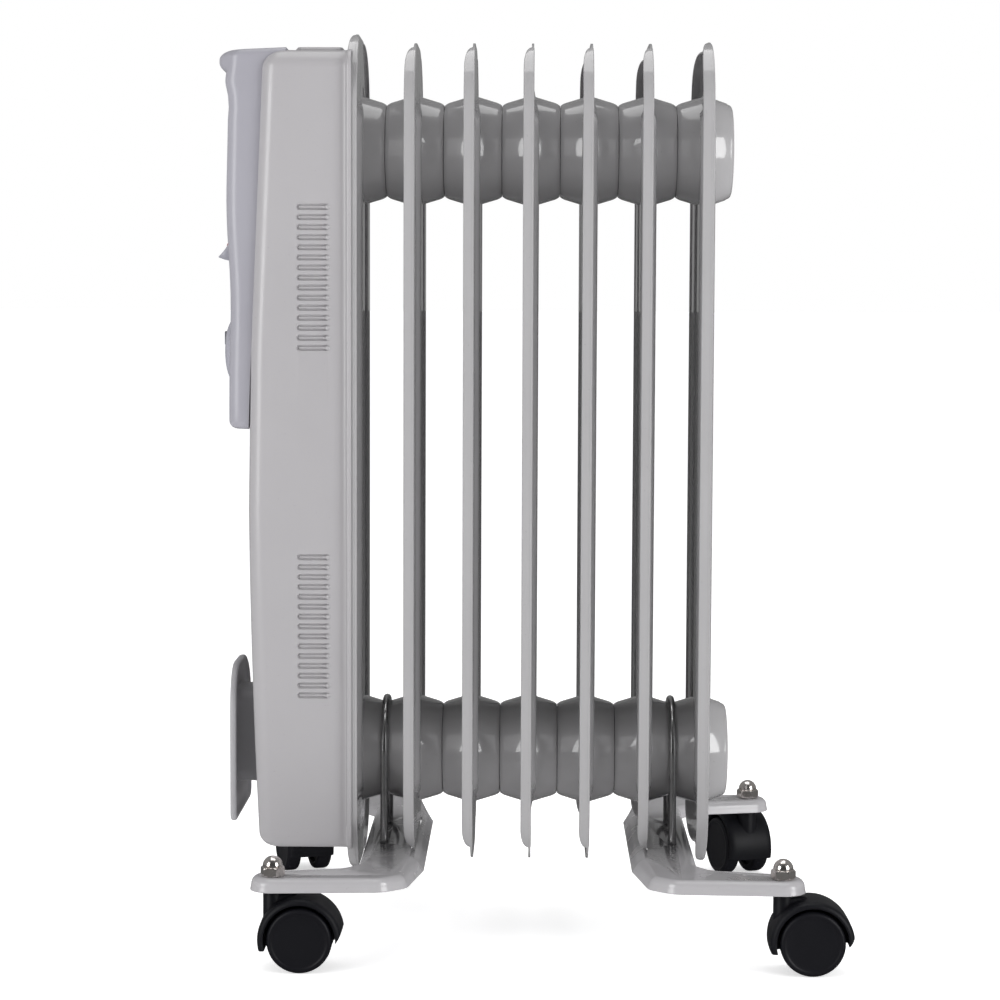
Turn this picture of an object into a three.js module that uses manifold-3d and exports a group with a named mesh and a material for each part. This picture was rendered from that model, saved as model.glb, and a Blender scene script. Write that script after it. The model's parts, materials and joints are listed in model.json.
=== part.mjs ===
// Oil filled radiator heater: seven pressed-steel fins on two header barrels, a control
// housing on the first fin, and two pressed feet on four twin-wheel swivel casters.
// Millimetres, +Z up. -X is the control-panel end (front), +X the last fin (rear);
// -Y is the right-hand side as seen by someone facing the panel.
import * as THREE from 'three';
import { mergeVertices } from 'three/addons/utils/BufferGeometryUtils.js';
import Module from 'manifold-3d';

const wasm = await Module();
wasm.setup();

// ---------------------------------------------------------------- driving dimensions
const GAP = 0.3; // clearance between neighbouring solids

const FIN = {
  count: 7,
  pitch: 41.2,
  width: 144,
  bottom: 51,
  height: 580,
  corner: 50, // radius of the four corners
  plateLow: 0.2, // the welded flange, measured from the fin's own centre plane
  plateHigh: 1.8,
  hemLow: -3.8, // the rolled edge strip
  hemHigh: 3.4,
  hemDepth: 1.6,
  hemBottomTrim: 22, // the strip stops this far above the fin's lowest edge
  hemTopTrim: 12,
};
// The first and last fins are rolled all round, and stand a little taller than the rest.
const END_HEM = { low: -4.2, high: 3.6 };
const FIRST_FIN = { bottom: 43.5, top: 637 };
const LAST_FIN = { bottom: 50, top: 632 };

// The pressed oil channels on both sides of a fin's middle, in plan and in height.
const CHANNEL = {
  inner: 8,
  outer: 50,
  bulge: 5.6,
  slope: 12,
  bottom: 79,
  top: 604,
  taper: 24,
  sheet: 1,
};

const HEADER = {
  low: 126, // heights of the two barrels
  high: 557,
  cupRadius: 39,
  seamRadius: 31.5,
  wall: 1.4,
  sides: 16,
  endReach: 20.4, // how far an end cup stands out from its fin
};

const HOUSING = {
  back: -128.3,
  halfWidth: 68,
  bottom: 64.5,
  top: 623,
  wall: 1.2,
  edgeRadius: 11,
  bulgeFront: -197, // the furthest point of the bowed front
  bulgeHeight: 350,
  leanTop: 0.044, // how fast the front falls back above that height
  leanBlend: 25, // height over which it starts to
  bowBottom: 6 / 260 ** 2, // and its slow curve below
};

const LOUVRE = {
  count: 15,
  pitch: 6.95,
  height: 3.6,
  front: -162,
  back: -139,
  upper: 417.3, // centre of the lowest slot in each group
  lower: 174,
};

const PANEL = {
  front: -211,
  halfWidth: 60,
  bottom: 360,
  top: 626.2,
  corner: 9,
  wall: 2.2,
  noseFront: -219,
  noseHeight: 617,
  lipBack: -170,
};

const KNOB = { height: 414, radius: 22.5, front: -219.5, bore: 3.6, shaft: 3.2 };
const ROCKER = { height: 487, pitch: 34, halfTall: 9.5, halfWide: 6.2, pivot: -207 };
const LENS = { height: 598, radius: 9.8, front: -217 };

const WRAP = {
  front: -214,
  thickness: 4.4,
  bottom: 80,
  top: 194,
  halfWidth: 50,
  bottomCorner: 8,
  topCorner: 34,
  hubBottom: 104,
  hubTop: 177,
  hubHalfWidth: 26,
  hubCorner: 12,
};

const FOOT = {
  top: 63,
  sheet: 1.6,
  skirtBottom: 54,
  flare: 2.5,
  slotLength: 112, // clearance slot for the lower end of the fin above the plate
  slotMargin: 0.9,
  spineInner: 75, // edges of the plate under the fins, measured from the middle of the heater
  spineOuter: 115.2,
  stemX: 172,
  stemY: 144,
  endRadius: 12.8,
};

const ELEMENT = { rodRadius: 4, rodY: 9, drop: 6, bossRadius: 16, end: 108 };
const FILLER = { shank: 5, head: 8.5 };
const CORD_INLET = { x: -164, neck: 6.5, flange: 9, bore: 3.8 };
const HOUSING_SCREW = { x: -146, shank: 2, head: 4 };
const BACK_PLATE = { front: -133.4, back: -132, halfWidth: 60, bottom: 84, top: 612 };

const STRIP = { front: -165, back: -130, halfWidth: 46 };

const U_BOLT = { x: 103, legY: 36.2, rod: 3, bottom: 47 };
const NUT = { cornerRadius: 7.8, hexHeight: 6, domeRadius: 6.3, domeCentre: 6.4 };

const CASTER = {
  wheelRadius: 22,
  wheelInner: 6.8, // inner and outer faces of one wheel, from the caster's middle plane
  wheelOuter: 18,
  offset: 19, // trail of the wheel axle behind the stem
  hoodInner: 24.3,
  hoodOuter: 28.5,
  hoodHalfWidth: 17.6,
  webHalf: 2.6,
  bossRadius: 6.6,
  bossTop: 58.6,
  stemRadius: 3.9,
  stemTop: 73,
  axleRadius: 3,
};

// Each caster: side of the heater it stands on, and where its wheel trails, in degrees.
const CASTERS = [
  { name: 'front_right', x: -1, y: -1, heading: 0 },
  { name: 'rear_right', x: 1, y: -1, heading: 0 },
  { name: 'front_left', x: -1, y: 1, heading: 110 },
  { name: 'rear_left', x: 1, y: 1, heading: 110 },
];

// ------------------------------------------------------------------------- materials
const finish = (color, roughness, metalness) =>
  new THREE.MeshStandardMaterial({ color, roughness, metalness });

const materials = {
  enamel: finish(0xb4b2b5, 0.3, 0.1),
  housingPaint: finish(0xb1afb2, 0.42, 0.1),
  panelPlastic: finish(0xb3b3bd, 0.5, 0),
  wrapPlastic: finish(0x9d9ca0, 0.55, 0),
  casterPlastic: finish(0x26272b, 0.6, 0),
  chrome: finish(0xd6d2cf, 0.12, 1),
  zinc: finish(0xa9abae, 0.35, 1),
  brass: finish(0xb59a57, 0.35, 1),
  redLens: finish(0xb52a20, 0.2, 0),
  blackPlastic: finish(0x2b2b2e, 0.5, 0),
  rubber: finish(0x333335, 0.85, 0),
};

// --------------------------------------------------------------------- solid helpers
// Turns a closed three.js geometry into a manifold solid with its faces pointing out.
function solid(geometry) {
  const bare = geometry.clone();
  bare.deleteAttribute('normal');
  bare.deleteAttribute('uv');
  const merged = mergeVertices(bare, 1e-4);
  const vertProperties = new Float32Array(merged.attributes.position.array);
  const triVerts = new Uint32Array(merged.index.array);
  if (signedVolume(vertProperties, triVerts) < 0) {
    for (let t = 0; t < triVerts.length; t += 3) {
      [triVerts[t + 1], triVerts[t + 2]] = [triVerts[t + 2], triVerts[t + 1]];
    }
  }
  return new wasm.Manifold(new wasm.Mesh({ numProp: 3, vertProperties, triVerts }));
}

function signedVolume(positions, triangles) {
  const [a, b, c] = [new THREE.Vector3(), new THREE.Vector3(), new THREE.Vector3()];
  let six = 0;
  for (let t = 0; t < triangles.length; t += 3) {
    a.fromArray(positions, 3 * triangles[t]);
    b.fromArray(positions, 3 * triangles[t + 1]);
    c.fromArray(positions, 3 * triangles[t + 2]);
    six += a.dot(b.cross(c));
  }
  return six;
}

function geometryOf(manifold) {
  const mesh = manifold.getMesh();
  const geometry = new THREE.BufferGeometry();
  geometry.setAttribute('position', new THREE.BufferAttribute(mesh.vertProperties, 3));
  geometry.setIndex(new THREE.BufferAttribute(mesh.triVerts, 1));
  geometry.computeVertexNormals();
  return geometry;
}

function part(name, material, manifold) {
  const mesh = new THREE.Mesh(geometryOf(manifold), material);
  mesh.name = name;
  return mesh;
}

function union(...solids) {
  return solids.reduce((sum, next) => sum.add(next));
}

function box(x0, x1, y0, y1, z0, z1) {
  const geometry = new THREE.BoxGeometry(x1 - x0, y1 - y0, z1 - z0);
  geometry.translate((x0 + x1) / 2, (y0 + y1) / 2, (z0 + z1) / 2);
  return solid(geometry);
}

// A cylinder along an axis ('x', 'y' or 'z') from `start` to `end`, centred on (u, v),
// the other two coordinates in X, Y, Z order.
function rod(axis, radius, start, end, u, v, sides = 16) {
  const geometry = new THREE.CylinderGeometry(radius, radius, end - start, sides);
  return solid(placeOnAxis(geometry, axis, (start + end) / 2, u, v));
}

// Radius of a many-sided bore whose flats still clear a round of `radius` that turns in it.
const clearBore = (radius, sides) => (radius + GAP / 2) / Math.cos(Math.PI / sides);

// A turned solid: profile points are [radius, distance along the axis].
function turned(axis, profile, u, v, sides = 20, startAngle = 0) {
  const points = profile.map(([radius, along]) => new THREE.Vector2(radius, along));
  return solid(placeOnAxis(new THREE.LatheGeometry(points, sides, startAngle), axis, 0, u, v));
}

function placeOnAxis(geometry, axis, along, u, v) {
  if (axis === 'x') {
    geometry.rotateZ(-Math.PI / 2);
    geometry.translate(along, u, v);
  } else if (axis === 'y') {
    geometry.translate(u, along, v);
  } else {
    geometry.rotateX(Math.PI / 2);
    geometry.translate(u, v, along);
  }
  return geometry;
}

// A prism: an outline in the plane square to `axis`, from `start` to `end` along it.
function prism(axis, outline, start, end, holes = []) {
  const shape = new THREE.Shape(outline);
  shape.holes = holes.map((hole) => new THREE.Path(hole));
  const geometry = new THREE.ExtrudeGeometry(shape, { depth: end - start, bevelEnabled: false });
  geometry.translate(0, 0, start);
  if (axis === 'x') {
    geometry.rotateX(Math.PI / 2); // (u, v, along) -> (u, -along, v)
    geometry.rotateZ(Math.PI / 2); // -> (along, u, v)
  } else if (axis === 'y') {
    geometry.rotateX(Math.PI / 2); // (u, v, along) -> (u, -along, v)
    geometry.scale(1, -1, 1);
  }
  return solid(geometry);
}

// Skins a stack of rings that all have the same number of points, and closes both ends.
// `flatten` gives a ring's outline in its own plane.
function loft(rings, flatten = ({ x, y }) => new THREE.Vector2(x, y)) {
  const count = rings[0].length;
  const positions = rings.flat().flatMap((point) => [point.x, point.y, point.z]);
  const index = [];
  for (let r = 0; r + 1 < rings.length; r += 1) {
    for (let i = 0; i < count; i += 1) {
      const j = (i + 1) % count;
      const [a, b] = [r * count + i, r * count + j];
      index.push(a, b, b + count, a, b + count, a + count);
    }
  }
  const flat = rings[0].map(flatten);
  const last = (rings.length - 1) * count;
  const clockwise = THREE.ShapeUtils.isClockWise(flat);
  for (const triangle of THREE.ShapeUtils.triangulateShape(flat, [])) {
    const turned = THREE.ShapeUtils.isClockWise(triangle.map((i) => flat[i])) !== clockwise;
    const [a, b, c] = turned ? triangle.reverse() : triangle;
    index.push(b, a, c, last + a, last + b, last + c);
  }
  const geometry = new THREE.BufferGeometry();
  geometry.setAttribute('position', new THREE.Float32BufferAttribute(positions, 3));
  geometry.setIndex(index);
  return solid(geometry);
}

// A closed outline whose corners [u, v, radius] are rounded with `steps` chords each.
function roundedOutline(corners, steps = 3) {
  const points = [];
  corners.forEach(([u, v, radius = 0], i) => {
    const at = new THREE.Vector2(u, v);
    if (radius === 0) {
      points.push(at);
      return;
    }
    const before = corners[(i + corners.length - 1) % corners.length];
    const after = corners[(i + 1) % corners.length];
    const toBefore = new THREE.Vector2(before[0] - u, before[1] - v).normalize();
    const toAfter = new THREE.Vector2(after[0] - u, after[1] - v).normalize();
    const half = Math.acos(THREE.MathUtils.clamp(toBefore.dot(toAfter), -1, 1)) / 2;
    const reach = radius / Math.tan(half);
    const centre = toBefore.clone().add(toAfter).normalize();
    centre.multiplyScalar(radius / Math.sin(half)).add(at);
    const first = at.clone().addScaledVector(toBefore, reach).sub(centre);
    const turn = first.angle();
    const last = at.clone().addScaledVector(toAfter, reach).sub(centre);
    let sweep = last.angle() - turn;
    if (sweep > Math.PI) sweep -= 2 * Math.PI;
    if (sweep < -Math.PI) sweep += 2 * Math.PI;
    for (let s = 0; s <= steps; s += 1) {
      const angle = turn + (sweep * s) / steps;
      points.push(new THREE.Vector2(Math.cos(angle), Math.sin(angle)).multiplyScalar(radius).add(centre));
    }
  });
  return points;
}

// Moves every point of a counter-clockwise outline outwards by `distance`.
function offsetOutline(outline, distance) {
  return outline.map((point, i) => {
    const before = outline[(i + outline.length - 1) % outline.length];
    const after = outline[(i + 1) % outline.length];
    const a = point.clone().sub(before).normalize();
    const b = after.clone().sub(point).normalize();
    const normal = new THREE.Vector2(a.y + b.y, -a.x - b.x).normalize();
    const stretch = Math.max(0.5, normal.dot(new THREE.Vector2(a.y, -a.x)));
    return point.clone().addScaledVector(normal, distance / stretch);
  });
}

const at = (outline, z) => outline.map((point) => new THREE.Vector3(point.x, point.y, z));

// A round bar of the given radius bent along a path of straight and curved stretches.
function bentBar(path, radius, steps, sides = 8) {
  const section = new THREE.Shape();
  section.absarc(0, 0, radius, 0, 2 * Math.PI);
  const options = { steps, extrudePath: path, bevelEnabled: false, curveSegments: sides / 2 };
  return solid(new THREE.ExtrudeGeometry(section, options));
}

// A half circle in the plane x = const, or z = const, used by the bent bars.
class HalfTurn extends THREE.Curve {
  constructor(centre, from, towards) {
    super();
    Object.assign(this, { centre, from, towards });
  }

  getPoint(t, target = new THREE.Vector3()) {
    const angle = Math.PI * t;
    target.copy(this.centre).addScaledVector(this.from, Math.cos(angle));
    return target.addScaledVector(this.towards, Math.sin(angle));
  }
}

// ------------------------------------------------------------------------------ fins
const finX = (i) => (i - (FIN.count - 1) / 2) * FIN.pitch;
const MIDDLE_FIN = { bottom: FIN.bottom, top: FIN.bottom + FIN.height };

function finOutline(span, inset = 0, steps = 4) {
  const half = FIN.width / 2 - inset;
  const [low, high] = [span.bottom + inset, span.top - inset];
  const radius = FIN.corner - inset;
  return roundedOutline(
    [[-half, low, radius], [half, low, radius], [half, high, radius], [-half, high, radius]],
    steps,
  );
}

// The rolled edge: a full ring on the end fins, and two upright strips on the others.
function hem(span) {
  const full = span !== MIDDLE_FIN;
  const [low, high] = full ? [END_HEM.low, END_HEM.high] : [FIN.hemLow, FIN.hemHigh];
  const ring = prism('x', finOutline(span), low, high, [finOutline(span, FIN.hemDepth)]);
  if (full) return ring;
  const [start, end] = [span.bottom + FIN.hemBottomTrim, span.top - FIN.hemTopTrim];
  return ring.intersect(box(-FIN.pitch, FIN.pitch, -FIN.width, FIN.width, start, end));
}

// The six-sided section of an upright oil channel, in plan; `skin` shrinks it for the cavity.
function channelSection(side, skin) {
  const { inner, outer, bulge, slope } = CHANNEL;
  const deep = bulge - skin;
  return [
    [0, inner + skin], [deep, inner + slope], [deep, outer - slope],
    [0, outer - skin], [-deep, outer - slope], [-deep, inner + slope],
  ].map(([x, y]) => new THREE.Vector2(x, side * y));
}

// One channel on either side of the fin's middle, drawn in to a narrow tip at each end.
function channels() {
  const { bottom, top, taper } = CHANNEL;
  const upright = (side) => {
    const full = channelSection(side, 0);
    const tip = full.map((point) => new THREE.Vector2(point.x * 0.2, point.y * 0.6 + side * 11));
    return loft([at(tip, bottom), at(full, bottom + taper), at(full, top - taper), at(tip, top)]);
  };
  return union(upright(1), upright(-1));
}

function channelCavities() {
  const { bottom, top, taper, sheet } = CHANNEL;
  const cavity = (side) => {
    const section = channelSection(side, sheet);
    return loft([at(section, bottom + taper), at(section, top - taper)]);
  };
  return union(cavity(1), cavity(-1));
}

// A header cup turned about X, mirrored about the fin unless it ends in a closed cup.
function cups(height, closedEnd, skin) {
  const { cupRadius, seamRadius, endReach, sides } = HEADER;
  const seam = FIN.pitch / 2 - GAP / 2 + (skin > 0 ? 1 : 0);
  const open = [[seamRadius, seam], [cupRadius, 0]];
  const closed = [[0, endReach], [27, endReach - 0.6], [33, endReach - 4], [cupRadius, 0]];
  const shrink = (points) => points.map(([r, x]) => [Math.max(0, r - skin), x]);
  const inward = (points) => points.map(([r, x]) => [r, Math.max(0, x - skin)]);
  const pick = (side) => {
    if (closedEnd !== side) return [[0, seam], ...shrink(open)];
    return inward(shrink(closed));
  };
  const right = pick(1);
  const left = pick(-1).map(([r, x]) => [r, -x]);
  const profile = [...left, ...right.reverse().slice(1)];
  return turned('x', profile, 0, height, sides);
}

function fin(i) {
  const [span, closedEnd] = new Map([
    [0, [FIRST_FIN, -1]],
    [FIN.count - 1, [LAST_FIN, 1]],
  ]).get(i) ?? [MIDDLE_FIN, 0];
  let body = union(
    prism('x', finOutline(span), FIN.plateLow, FIN.plateHigh),
    hem(span),
    channels(),
    cups(HEADER.low, closedEnd, 0),
    cups(HEADER.high, closedEnd, 0),
  );
  body = body
    .subtract(channelCavities())
    .subtract(cups(HEADER.low, closedEnd, HEADER.wall))
    .subtract(cups(HEADER.high, closedEnd, HEADER.wall));
  if (i === 0) {
    const mouth = [-HEADER.endReach - 5, -HEADER.endReach + 8];
    body = body
      .subtract(rod('x', ELEMENT.bossRadius + GAP, ...mouth, 0, HEADER.low, 20))
      .subtract(rod('x', FILLER.shank + GAP, ...mouth, 0, HEADER.high, 12));
  }
  const mesh = part(`fin_${i + 1}`, materials.enamel, body);
  mesh.position.x = finX(i);
  return mesh;
}

// ------------------------------------------------- heating element and its fittings
const cupEnd = finX(0) - HEADER.endReach;

function heatingElement() {
  const { rodRadius, rodY, drop, end } = ELEMENT;
  const height = HEADER.low - drop;
  const bendAt = end - rodY;
  const leg = (y) => rod('x', rodRadius, cupEnd + 9.5, bendAt + 0.5, y, height, 10);
  const bend = new HalfTurn(
    new THREE.Vector3(bendAt, 0, height),
    new THREE.Vector3(0, -rodY, 0),
    new THREE.Vector3(rodY, 0, 0),
  );
  const hairpin = union(leg(-rodY), leg(rodY), bentBar(bend, rodRadius, 6));
  return part('heating_element', materials.zinc, hairpin);
}

function elementFlange() {
  const boss = turned('x', [[0, cupEnd - 5], [20, cupEnd - 5], [20, cupEnd - GAP],
    [ELEMENT.bossRadius, cupEnd - GAP], [ELEMENT.bossRadius, cupEnd + 9], [0, cupEnd + 9]],
  0, HEADER.low, 20);
  const pins = [-1, 1].map((side) => {
    const y = side * ELEMENT.rodY;
    return box(cupEnd - 17, cupEnd - 4, y - 0.6, y + 0.6, HEADER.low - 11, HEADER.low - 5);
  });
  return part('element_flange', materials.brass, union(boss, ...pins));
}

function fillerPlug() {
  const head = rod('x', FILLER.head, cupEnd - 6, cupEnd - GAP, 0, HEADER.high, 6);
  const shank = rod('x', FILLER.shank, cupEnd - 1, cupEnd + 6, 0, HEADER.high, 12);
  return part('filler_plug', materials.zinc, union(head, shank));
}

// --------------------------------------------------------------------------- housing
function frontX(z) {
  const { bulgeFront, bulgeHeight, leanTop, leanBlend, bowBottom } = HOUSING;
  const rise = z - bulgeHeight;
  if (rise < 0) return bulgeFront + bowBottom * rise * rise;
  return bulgeFront + leanTop * (Math.hypot(rise, leanBlend) - leanBlend);
}

// A level section of the housing's outside, drawn in by `inset` on its front and sides.
function housingSection(z, inset, back) {
  const front = frontX(z) + inset;
  const half = HOUSING.halfWidth - inset;
  const radius = Math.max(2, HOUSING.edgeRadius - inset * 0.6);
  const outline = roundedOutline(
    [[back, -half], [back, half], [front, half, radius], [front, -half, radius]],
    2,
  );
  return at(outline, z);
}

// Heights from the bottom, with the inset that rounds the lower and upper edges.
function housingBlock(skin, back) {
  const [low, high] = [HOUSING.bottom + skin, HOUSING.top - skin];
  const levels = [
    [low, 11], [low + 4, 4], [low + 14, 0], [190, 0], [350, 0],
    [470, 0], [high - 12, 0], [high - 4, 3], [high, 10],
  ];
  return loft(levels.map(([z, inset]) => housingSection(z, inset + skin, back)));
}

function louvreSlots() {
  const slots = [];
  for (const base of [LOUVRE.upper, LOUVRE.lower]) {
    for (let n = 0; n < LOUVRE.count; n += 1) {
      const z = base + n * LOUVRE.pitch;
      const half = LOUVRE.height / 2;
      const reach = HOUSING.halfWidth + 5;
      slots.push(box(LOUVRE.front, LOUVRE.back, -reach, reach, z - half, z + half));
    }
  }
  return union(...slots);
}

function housing() {
  const cord = CORD_INLET;
  const shell = housingBlock(0, HOUSING.back)
    .subtract(housingBlock(HOUSING.wall, HOUSING.back + 5))
    .subtract(louvreSlots())
    .subtract(box(-220, -175, -44, 44, 385, 596)) // window behind the control panel
    .subtract(rod('z', cord.neck + GAP, 60, 75, cord.x, 0, 16))
    .subtract(rod('z', HOUSING_SCREW.shank + GAP, 60, 75, HOUSING_SCREW.x, 0, 10));
  return part('housing', materials.housingPaint, shell);
}

function backPlate() {
  const { front, back, halfWidth, bottom, top } = BACK_PLATE;
  const outline = roundedOutline([[-halfWidth, bottom, 10], [halfWidth, bottom, 10],
    [halfWidth, top, 10], [-halfWidth, top, 10]], 2);
  const hole = (z) => rod('x', HEADER.cupRadius + 1.5, front - 4, back + 4, 0, z, 12);
  const shelf = box(-156, back, -14, 14, 72, 73.4);
  const drop = box(front, back, -14, 14, 72, bottom + 2);
  const plate = union(prism('x', outline, front, back), drop, shelf)
    .subtract(hole(HEADER.low))
    .subtract(hole(HEADER.high))
    .subtract(rod('z', HOUSING_SCREW.shank + GAP, 68, 78, HOUSING_SCREW.x, 0, 10));
  return part('back_plate', materials.zinc, plate);
}

function housingScrew() {
  const { x, shank, head } = HOUSING_SCREW;
  const seat = HOUSING.bottom - GAP;
  const profile = [[0, seat - 2.4], [head * 0.7, seat - 2.4], [head, seat - 1.2], [head, seat],
    [shank, seat], [shank, seat + 11], [0, seat + 11]];
  return part('housing_screw', materials.zinc, turned('z', profile, x, 0, 12));
}

function topStrip() {
  const { front, back, halfWidth } = STRIP;
  const slab = box(front, back, -halfWidth, halfWidth, HOUSING.top + GAP, PANEL.top);
  return part('top_strip', materials.housingPaint, slab);
}

// The grommet that the mains cord leaves by, gripping the edge of a hole in the housing's floor.
function cordGrommet() {
  const { x, neck, flange, bore } = CORD_INLET;
  const [low, high] = [HOUSING.bottom - GAP, HOUSING.bottom + HOUSING.wall + GAP];
  const profile = [[bore, low - 3], [flange - 2, low - 3], [flange, low], [neck, low], [neck, high],
    [flange, high], [flange, high + 2], [bore, high + 2], [bore, low - 3]];
  return part('cord_grommet', materials.rubber, turned('z', profile, x, 0, 12));
}

function terminalBlock() {
  const front = BACK_PLATE.front - GAP;
  const body = box(front - 16, front, -22, 22, 206, 222);
  const wells = [-14, 0, 14].map((y) => rod('x', 3, front - 17, front - 8, y, 214, 8));
  return part('terminal_block', materials.blackPlastic, body.subtract(union(...wells)));
}

// The disc that opens the circuit if the first fin overheats, clamped to the back plate.
function thermalCutout() {
  const front = BACK_PLATE.front - GAP;
  const disc = rod('x', 9, front - 8, front, 0, 330, 16);
  const tabs = [-5, 5].map((y) => box(front - 15, front - 7, y - 0.5, y + 0.5, 327, 333));
  return part('thermal_cutout', materials.blackPlastic, union(disc, ...tabs));
}

// --------------------------------------------------------------------- control panel
function panelBlock(skin, back) {
  const { front, halfWidth, bottom, top, corner } = PANEL;
  const outline = (inset) => roundedOutline([
    [-halfWidth + inset, bottom + inset, corner], [halfWidth - inset, bottom + inset, corner],
    [halfWidth - inset, top - inset, corner], [-halfWidth + inset, top - inset, corner],
  ], 3);
  const ring = ([x, inset]) => outline(inset + skin).map(({ x: y, y: z }) => new THREE.Vector3(x, y, z));
  const levels = [[front + skin, 3.4], [front + skin + 1.2, 1], [front + skin + 3.6, 0], [back, 0]];
  return loft(levels.map(ring), ({ y, z }) => new THREE.Vector2(y, z));
}

function controlPanel() {
  const { front, wall, noseFront, noseHeight, lipBack, halfWidth } = PANEL;
  const noseRadius = front - noseFront;
  const windows = [-0.5, 0.5].map((side) => {
    const y = side * ROCKER.pitch;
    const [wide, tall] = [ROCKER.halfWide + 0.6, ROCKER.halfTall + 1.5];
    return box(front - 5, front + 5, y - wide, y + wide, ROCKER.height - tall, ROCKER.height + tall);
  });
  const shell = panelBlock(0, lipBack)
    .add(rod('y', noseRadius, -halfWidth + 8, halfWidth - 8, front, noseHeight, 14))
    .subtract(panelBlock(wall, lipBack + 5))
    .subtract(housingBlock(-GAP, HOUSING.back))
    .subtract(union(...windows))
    .subtract(rod('x', KNOB.bore, front - 5, front + 5, 0, KNOB.height, 12))
    .subtract(rod('x', LENS.radius - 2, front - 5, front + 5, 0, LENS.height, 12));
  return part('control_panel', materials.panelPlastic, shell);
}

function knob() {
  const back = PANEL.front - GAP;
  const { radius, front, shaft, height } = KNOB;
  const profile = [[0, front], [9, front + 0.3], [17, front + 1.6], [21, front + 4.2],
    [radius, back - 1], [radius, back], [shaft + GAP, back], [shaft + GAP, back - 5], [0, back - 5]];
  const pointer = box(front - 0.6, front + 5, -1.2, 1.2, height + 5, height + 19);
  return part('knob', materials.panelPlastic, turned('x', profile, 0, height, 20).add(pointer));
}

function thermostatParts() {
  const { shaft, height } = KNOB;
  const tip = PANEL.front - 5;
  const bodyFront = PANEL.front + 14;
  const spindle = rod('x', shaft, tip, bodyFront - GAP, 0, height, 12);
  const body = union(
    box(bodyFront, bodyFront + 15, -16, 16, height - 15, height + 15),
    box(bodyFront + 5, bodyFront + 6.2, -21, 21, height - 7, height + 7),
  );
  return [
    part('thermostat_spindle', materials.zinc, spindle),
    part('thermostat', materials.blackPlastic, body),
  ];
}

// A rocker with its lower end standing out, and the switch body behind it.
function rockerSwitch(number) {
  const y = (number - 1.5) * ROCKER.pitch;
  const { pivot, height, halfTall, halfWide } = ROCKER;
  const outline = [[-4.6, halfTall], [-9, 0.5], [-15, -8], [-13.6, -halfTall], [-2, -halfTall],
    [0, -6], [0, 6], [-2, halfTall]].map(([x, z]) => new THREE.Vector2(x, z));
  const key = prism('y', outline, -halfWide, halfWide);
  const rocker = part(`rocker_${number}`, materials.panelPlastic, key);
  rocker.position.set(pivot, y, height);
  const [front, back] = [pivot + 2.2, pivot + 18];
  const body = box(front, back, y - 6.8, y + 6.8, height - halfTall, height + halfTall);
  const tabs = [-5, 5].map((rise) => {
    const z = height + rise;
    return box(back - 1, back + 7, y - 2.4, y + 2.4, z - 0.4, z + 0.4);
  });
  return [rocker, part(`switch_body_${number}`, materials.blackPlastic, union(body, ...tabs))];
}

function indicatorLens() {
  const { radius, height, front } = LENS;
  const seat = PANEL.front - GAP;
  const neck = radius - 2 - GAP;
  const profile = [[0, front], [5, front + 0.7], [8.2, front + 2.6], [radius, seat - 1.4], [radius, seat],
    [neck, seat], [neck, seat + 5], [0, seat + 5]];
  return part('indicator_lens', materials.redLens, turned('x', profile, 0, height, 12));
}

// The plate that the cord is wound behind, arched at its top, on its post.
function cordWrap() {
  const { front, thickness, bottom, top, halfWidth, bottomCorner, topCorner } = WRAP;
  const { hubBottom, hubTop, hubHalfWidth, hubCorner } = WRAP;
  const shield = roundedOutline([
    [-halfWidth, bottom, bottomCorner], [halfWidth, bottom, bottomCorner],
    [halfWidth, top, topCorner], [-halfWidth, top, topCorner],
  ], 4);
  const post = roundedOutline([
    [-hubHalfWidth, hubBottom, hubCorner], [hubHalfWidth, hubBottom, hubCorner],
    [hubHalfWidth, hubTop, hubCorner], [-hubHalfWidth, hubTop, hubCorner],
  ], 3);
  const bracket = prism('x', shield, front, front + thickness)
    .add(prism('x', post, front + thickness - 1, HOUSING.bulgeFront + 17))
    .subtract(housingBlock(-GAP, HOUSING.back));
  return part('cord_wrap', materials.wrapPlastic, bracket);
}

// ------------------------------------------------------------------ feet and clamps
// Plan of a foot plate at its top surface, counter-clockwise; `side` is +1 for the rear foot.
function footOutline(side) {
  const { spineInner, spineOuter, stemX, stemY, endRadius } = FOOT;
  const near = -stemY - endRadius;
  const half = [
    [spineInner, -86, 20], [84, -140, 12], [99, -152.6, 18],
    [stemX + endRadius + 0.4, near, endRadius - 0.4], [stemX + endRadius + 0.4, -stemY + endRadius, 12],
    [126, -117.6, 14], [spineOuter, -102, 9],
  ];
  const mirrored = half.map(([x, y, r]) => [x, -y, r]).reverse();
  const corners = [...half, ...mirrored];
  const outline = roundedOutline(corners, 2);
  return side > 0 ? outline : outline.map((p) => new THREE.Vector2(-p.x, p.y)).reverse();
}

function foot(name, side) {
  const { top, sheet, skirtBottom, flare, stemX, stemY, slotLength, slotMargin } = FOOT;
  const outline = footOutline(side);
  const ring = (z, grow) => at(offsetOutline(outline, grow), z);
  const pan = loft([ring(skirtBottom, flare), ring(top, 0)]);
  const hollow = loft([ring(skirtBottom - 1, flare - sheet + 0.3), ring(top - sheet, 0.5 - sheet)]);
  const holes = [];
  for (const y of [-1, 1]) {
    holes.push(rod('z', CASTER.stemRadius + 0.4, 50, 70, side * stemX, y * stemY, 12));
    holes.push(rod('z', U_BOLT.rod + 0.5, 50, 70, side * U_BOLT.x, y * U_BOLT.legY, 8));
  }
  const plateX = 2 * side * FIN.pitch;
  const [slotLow, slotHigh] = [plateX + FIN.plateLow - slotMargin, plateX + FIN.plateHigh + slotMargin];
  const slot = box(slotLow, slotHigh, -slotLength / 2, slotLength / 2, 50, 70);
  const plate = pan.subtract(hollow).subtract(union(...holes)).subtract(slot);
  return part(name, materials.enamel, plate);
}

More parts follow.
